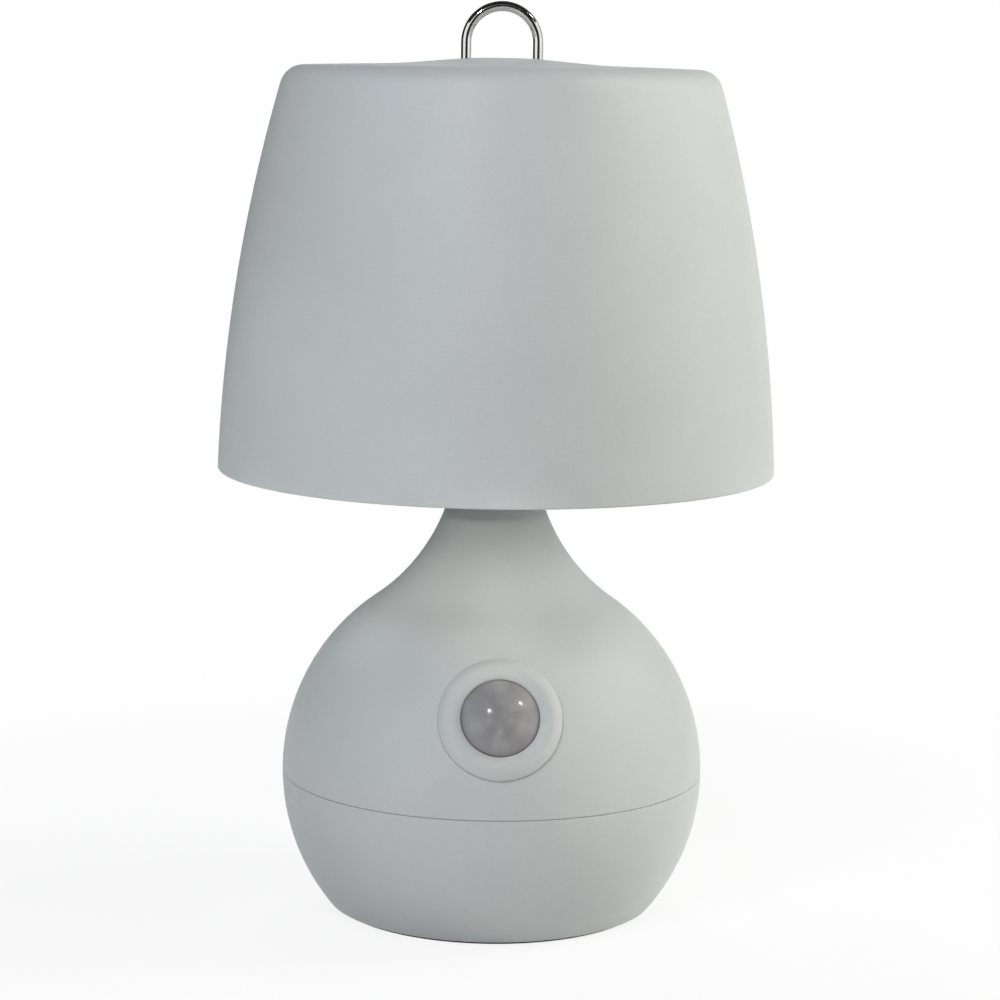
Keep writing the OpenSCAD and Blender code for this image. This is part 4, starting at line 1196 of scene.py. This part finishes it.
def aimed(azimuth, elevation, distance, target_z):
    """Place round the lamp, in degrees from the front towards the right, that faces the lamp's axis."""
    a, e = math.radians(azimuth), math.radians(elevation)
    out = Vector((math.sin(a) * math.cos(e), -math.cos(a) * math.cos(e), math.sin(e)))
    spot = Vector((0, 0, target_z)) + out * distance
    return Matrix.Translation(spot) @ out.to_track_quat("Z", "Y").to_matrix().to_4x4()


def light_at(place, name, kind, watts, colour):
    data = bpy.data.lights.new(name, kind)
    data.energy = watts
    data.color = colour
    holder = bpy.data.objects.new(name, data)
    holder.matrix_world = place
    bpy.context.scene.collection.objects.link(holder)
    return holder


def softbox(name, azimuth, elevation, distance, size, watts, colour):
    holder = light_at(aimed(azimuth, elevation, distance, LAMP_TARGET_Z), name, "AREA", watts, colour)
    holder.data.shape = "DISK"
    holder.data.size = size
    holder.visible_camera = False
    return holder


def narrow_light(name, azimuth, elevation, target_z, spread, radius, watts, colour):
    """Narrow light that reaches in under the shade."""
    holder = light_at(aimed(azimuth, elevation, SPOT_DISTANCE, target_z), name, "SPOT", watts, colour)
    holder.data.spot_size = math.radians(spread)
    holder.data.spot_blend = 1
    holder.data.shadow_soft_size = radius


def only_reflected(card):
    card.visible_camera = False
    card.visible_diffuse = False
    card.visible_shadow = False
    card.visible_transmission = False


def flag(name, azimuth, half_angle, low, high, material):
    """Screen round the lamp, which only reflections show."""
    width = 2 * FLAG_DISTANCE * math.tan(math.radians(half_angle))
    middle = aimed(azimuth, 0, FLAG_DISTANCE, (low + high) / 2)
    only_reflected(plane(name, width, material, middle @ Matrix.Diagonal((1, (high - low) / width, 1, 1))))


LAMP_TARGET_Z = 0.12
SPOT_DISTANCE = 1.2
FLAG_DISTANCE = 1.0
WHITE = (1.0, 1.0, 1.0)

# Broad soft lamps: azimuth, elevation, distance, size, watts, colour
SOFTBOXES = {
    "front_left": (-27, 30, 0.6, 0.36, 1.85, (0.95, 1.0, 1.0)),
    "front_high": (0, 50, 0.6, 0.36, 0.54, (0.76, 0.74, 1.0)),
    "front_right": (75, 30, 0.6, 0.36, 0.86, (1.0, 0.91, 0.4)),
    "right_high": (99, 30, 0.6, 0.36, 1.15, (0.82, 0.91, 1.0)),
    "right": (99, 15, 1.3, 0.55, 8.6, (0.935, 0.917, 1.0)),
    "back": (180, 25, 1.3, 0.6, 6.0, WHITE),
    "back_left": (-135, 25, 1.3, 0.6, 3.4, WHITE),
}
for lamp_name, values in SOFTBOXES.items():
    softbox(lamp_name, *values).visible_glossy = False

# Small lamps that only reflections show: the two glints on the lens
GLINTS = {
    "glint_left": (-26, 39, 0.8, 0.065, 1.6, WHITE),
    "glint_right": (69, 46, 0.8, 0.04, 1.4, WHITE),
}
for glint_name, values in GLINTS.items():
    softbox(glint_name, *values).visible_diffuse = False

# Narrow lights: azimuth, elevation, target's height, spread, radius, watts, colour
SPOTS = {
    "fill_low": (0, 5, 0.055, 4.2, 0.06, 8, (1.0, 0.88, 0.88)),
    "fill_left": (-60, 12, 0.086, 2.0, 0.06, 50, (0.75, 0.92, 1.0)),
    "bowl_left": (-55, 12, 0.078, 2.0, 0.012, 18, (0.97, 1.0, 0.94)),
    "bowl_front": (0, 12, 0.078, 2.0, 0.012, 32, (1.0, 0.985, 0.88)),
    "bowl_right": (55, 12, 0.078, 2.0, 0.012, 16, (0.93, 1.0, 0.86)),
    "neck": (60, 1, 0.1, 1.6, 0.012, 3, (0.94, 1.0, 0.78)),
}
for spot_name, values in SPOTS.items():
    narrow_light(spot_name, *values)

studio_world(ambient=0.02)
FLOOR_SIZE = 12
plane("floor", FLOOR_SIZE, stage_material("floor_white", 0.85, near=0.09, far=0.34), Matrix())

# Screens for the wire's and the lens's reflections: azimuth, half angle, low, high, material
FLAG_BLACK = flag_material("flag_black", 0.02)
FLAG_GREY = flag_material("flag_grey", 0.45)
FLAGS = {
    "flag_front": (7, 27, -0.2, 0.75, FLAG_BLACK),
    "flag_left": (-100, 26, -0.2, 0.9, FLAG_BLACK),
    "flag_back": (-149, 24, -0.2, 0.9, FLAG_BLACK),
    "flag_behind": (141, 46, -0.2, 0.9, FLAG_GREY),
}
for flag_name, values in FLAGS.items():
    flag(flag_name, *values)
CEILING_SIZE, CEILING_PLACE = 2.4, (0, -0.1, 0.95)
only_reflected(plane("flag_ceiling", CEILING_SIZE, FLAG_BLACK, Matrix.Translation(CEILING_PLACE)))

# ------------------------------ camera

CAMERA_PLACE = Vector((-0.02834, -0.70343, 0.21056))
YAW, PITCH, ROLL = math.radians(2.4005), math.radians(8.6137), math.radians(0.8563)
level_right = Vector((math.cos(YAW), -math.sin(YAW), 0))
ahead = Vector((math.sin(YAW) * math.cos(PITCH), math.cos(YAW) * math.cos(PITCH), -math.sin(PITCH)))
level_up = level_right.cross(ahead)
right = level_right * math.cos(ROLL) + level_up * math.sin(ROLL)
up = level_up * math.cos(ROLL) - level_right * math.sin(ROLL)
camera_data = bpy.data.cameras.new("camera")
camera_data.lens = 101.23
camera_data.sensor_width = 36
camera = bpy.data.objects.new("camera", camera_data)
camera.matrix_world = Matrix.Translation(CAMERA_PLACE) @ Matrix((right, up, -ahead)).transposed().to_4x4()
bpy.context.scene.collection.objects.link(camera)
bpy.context.scene.camera = camera

bpy.context.scene.view_settings.view_transform = "Standard"
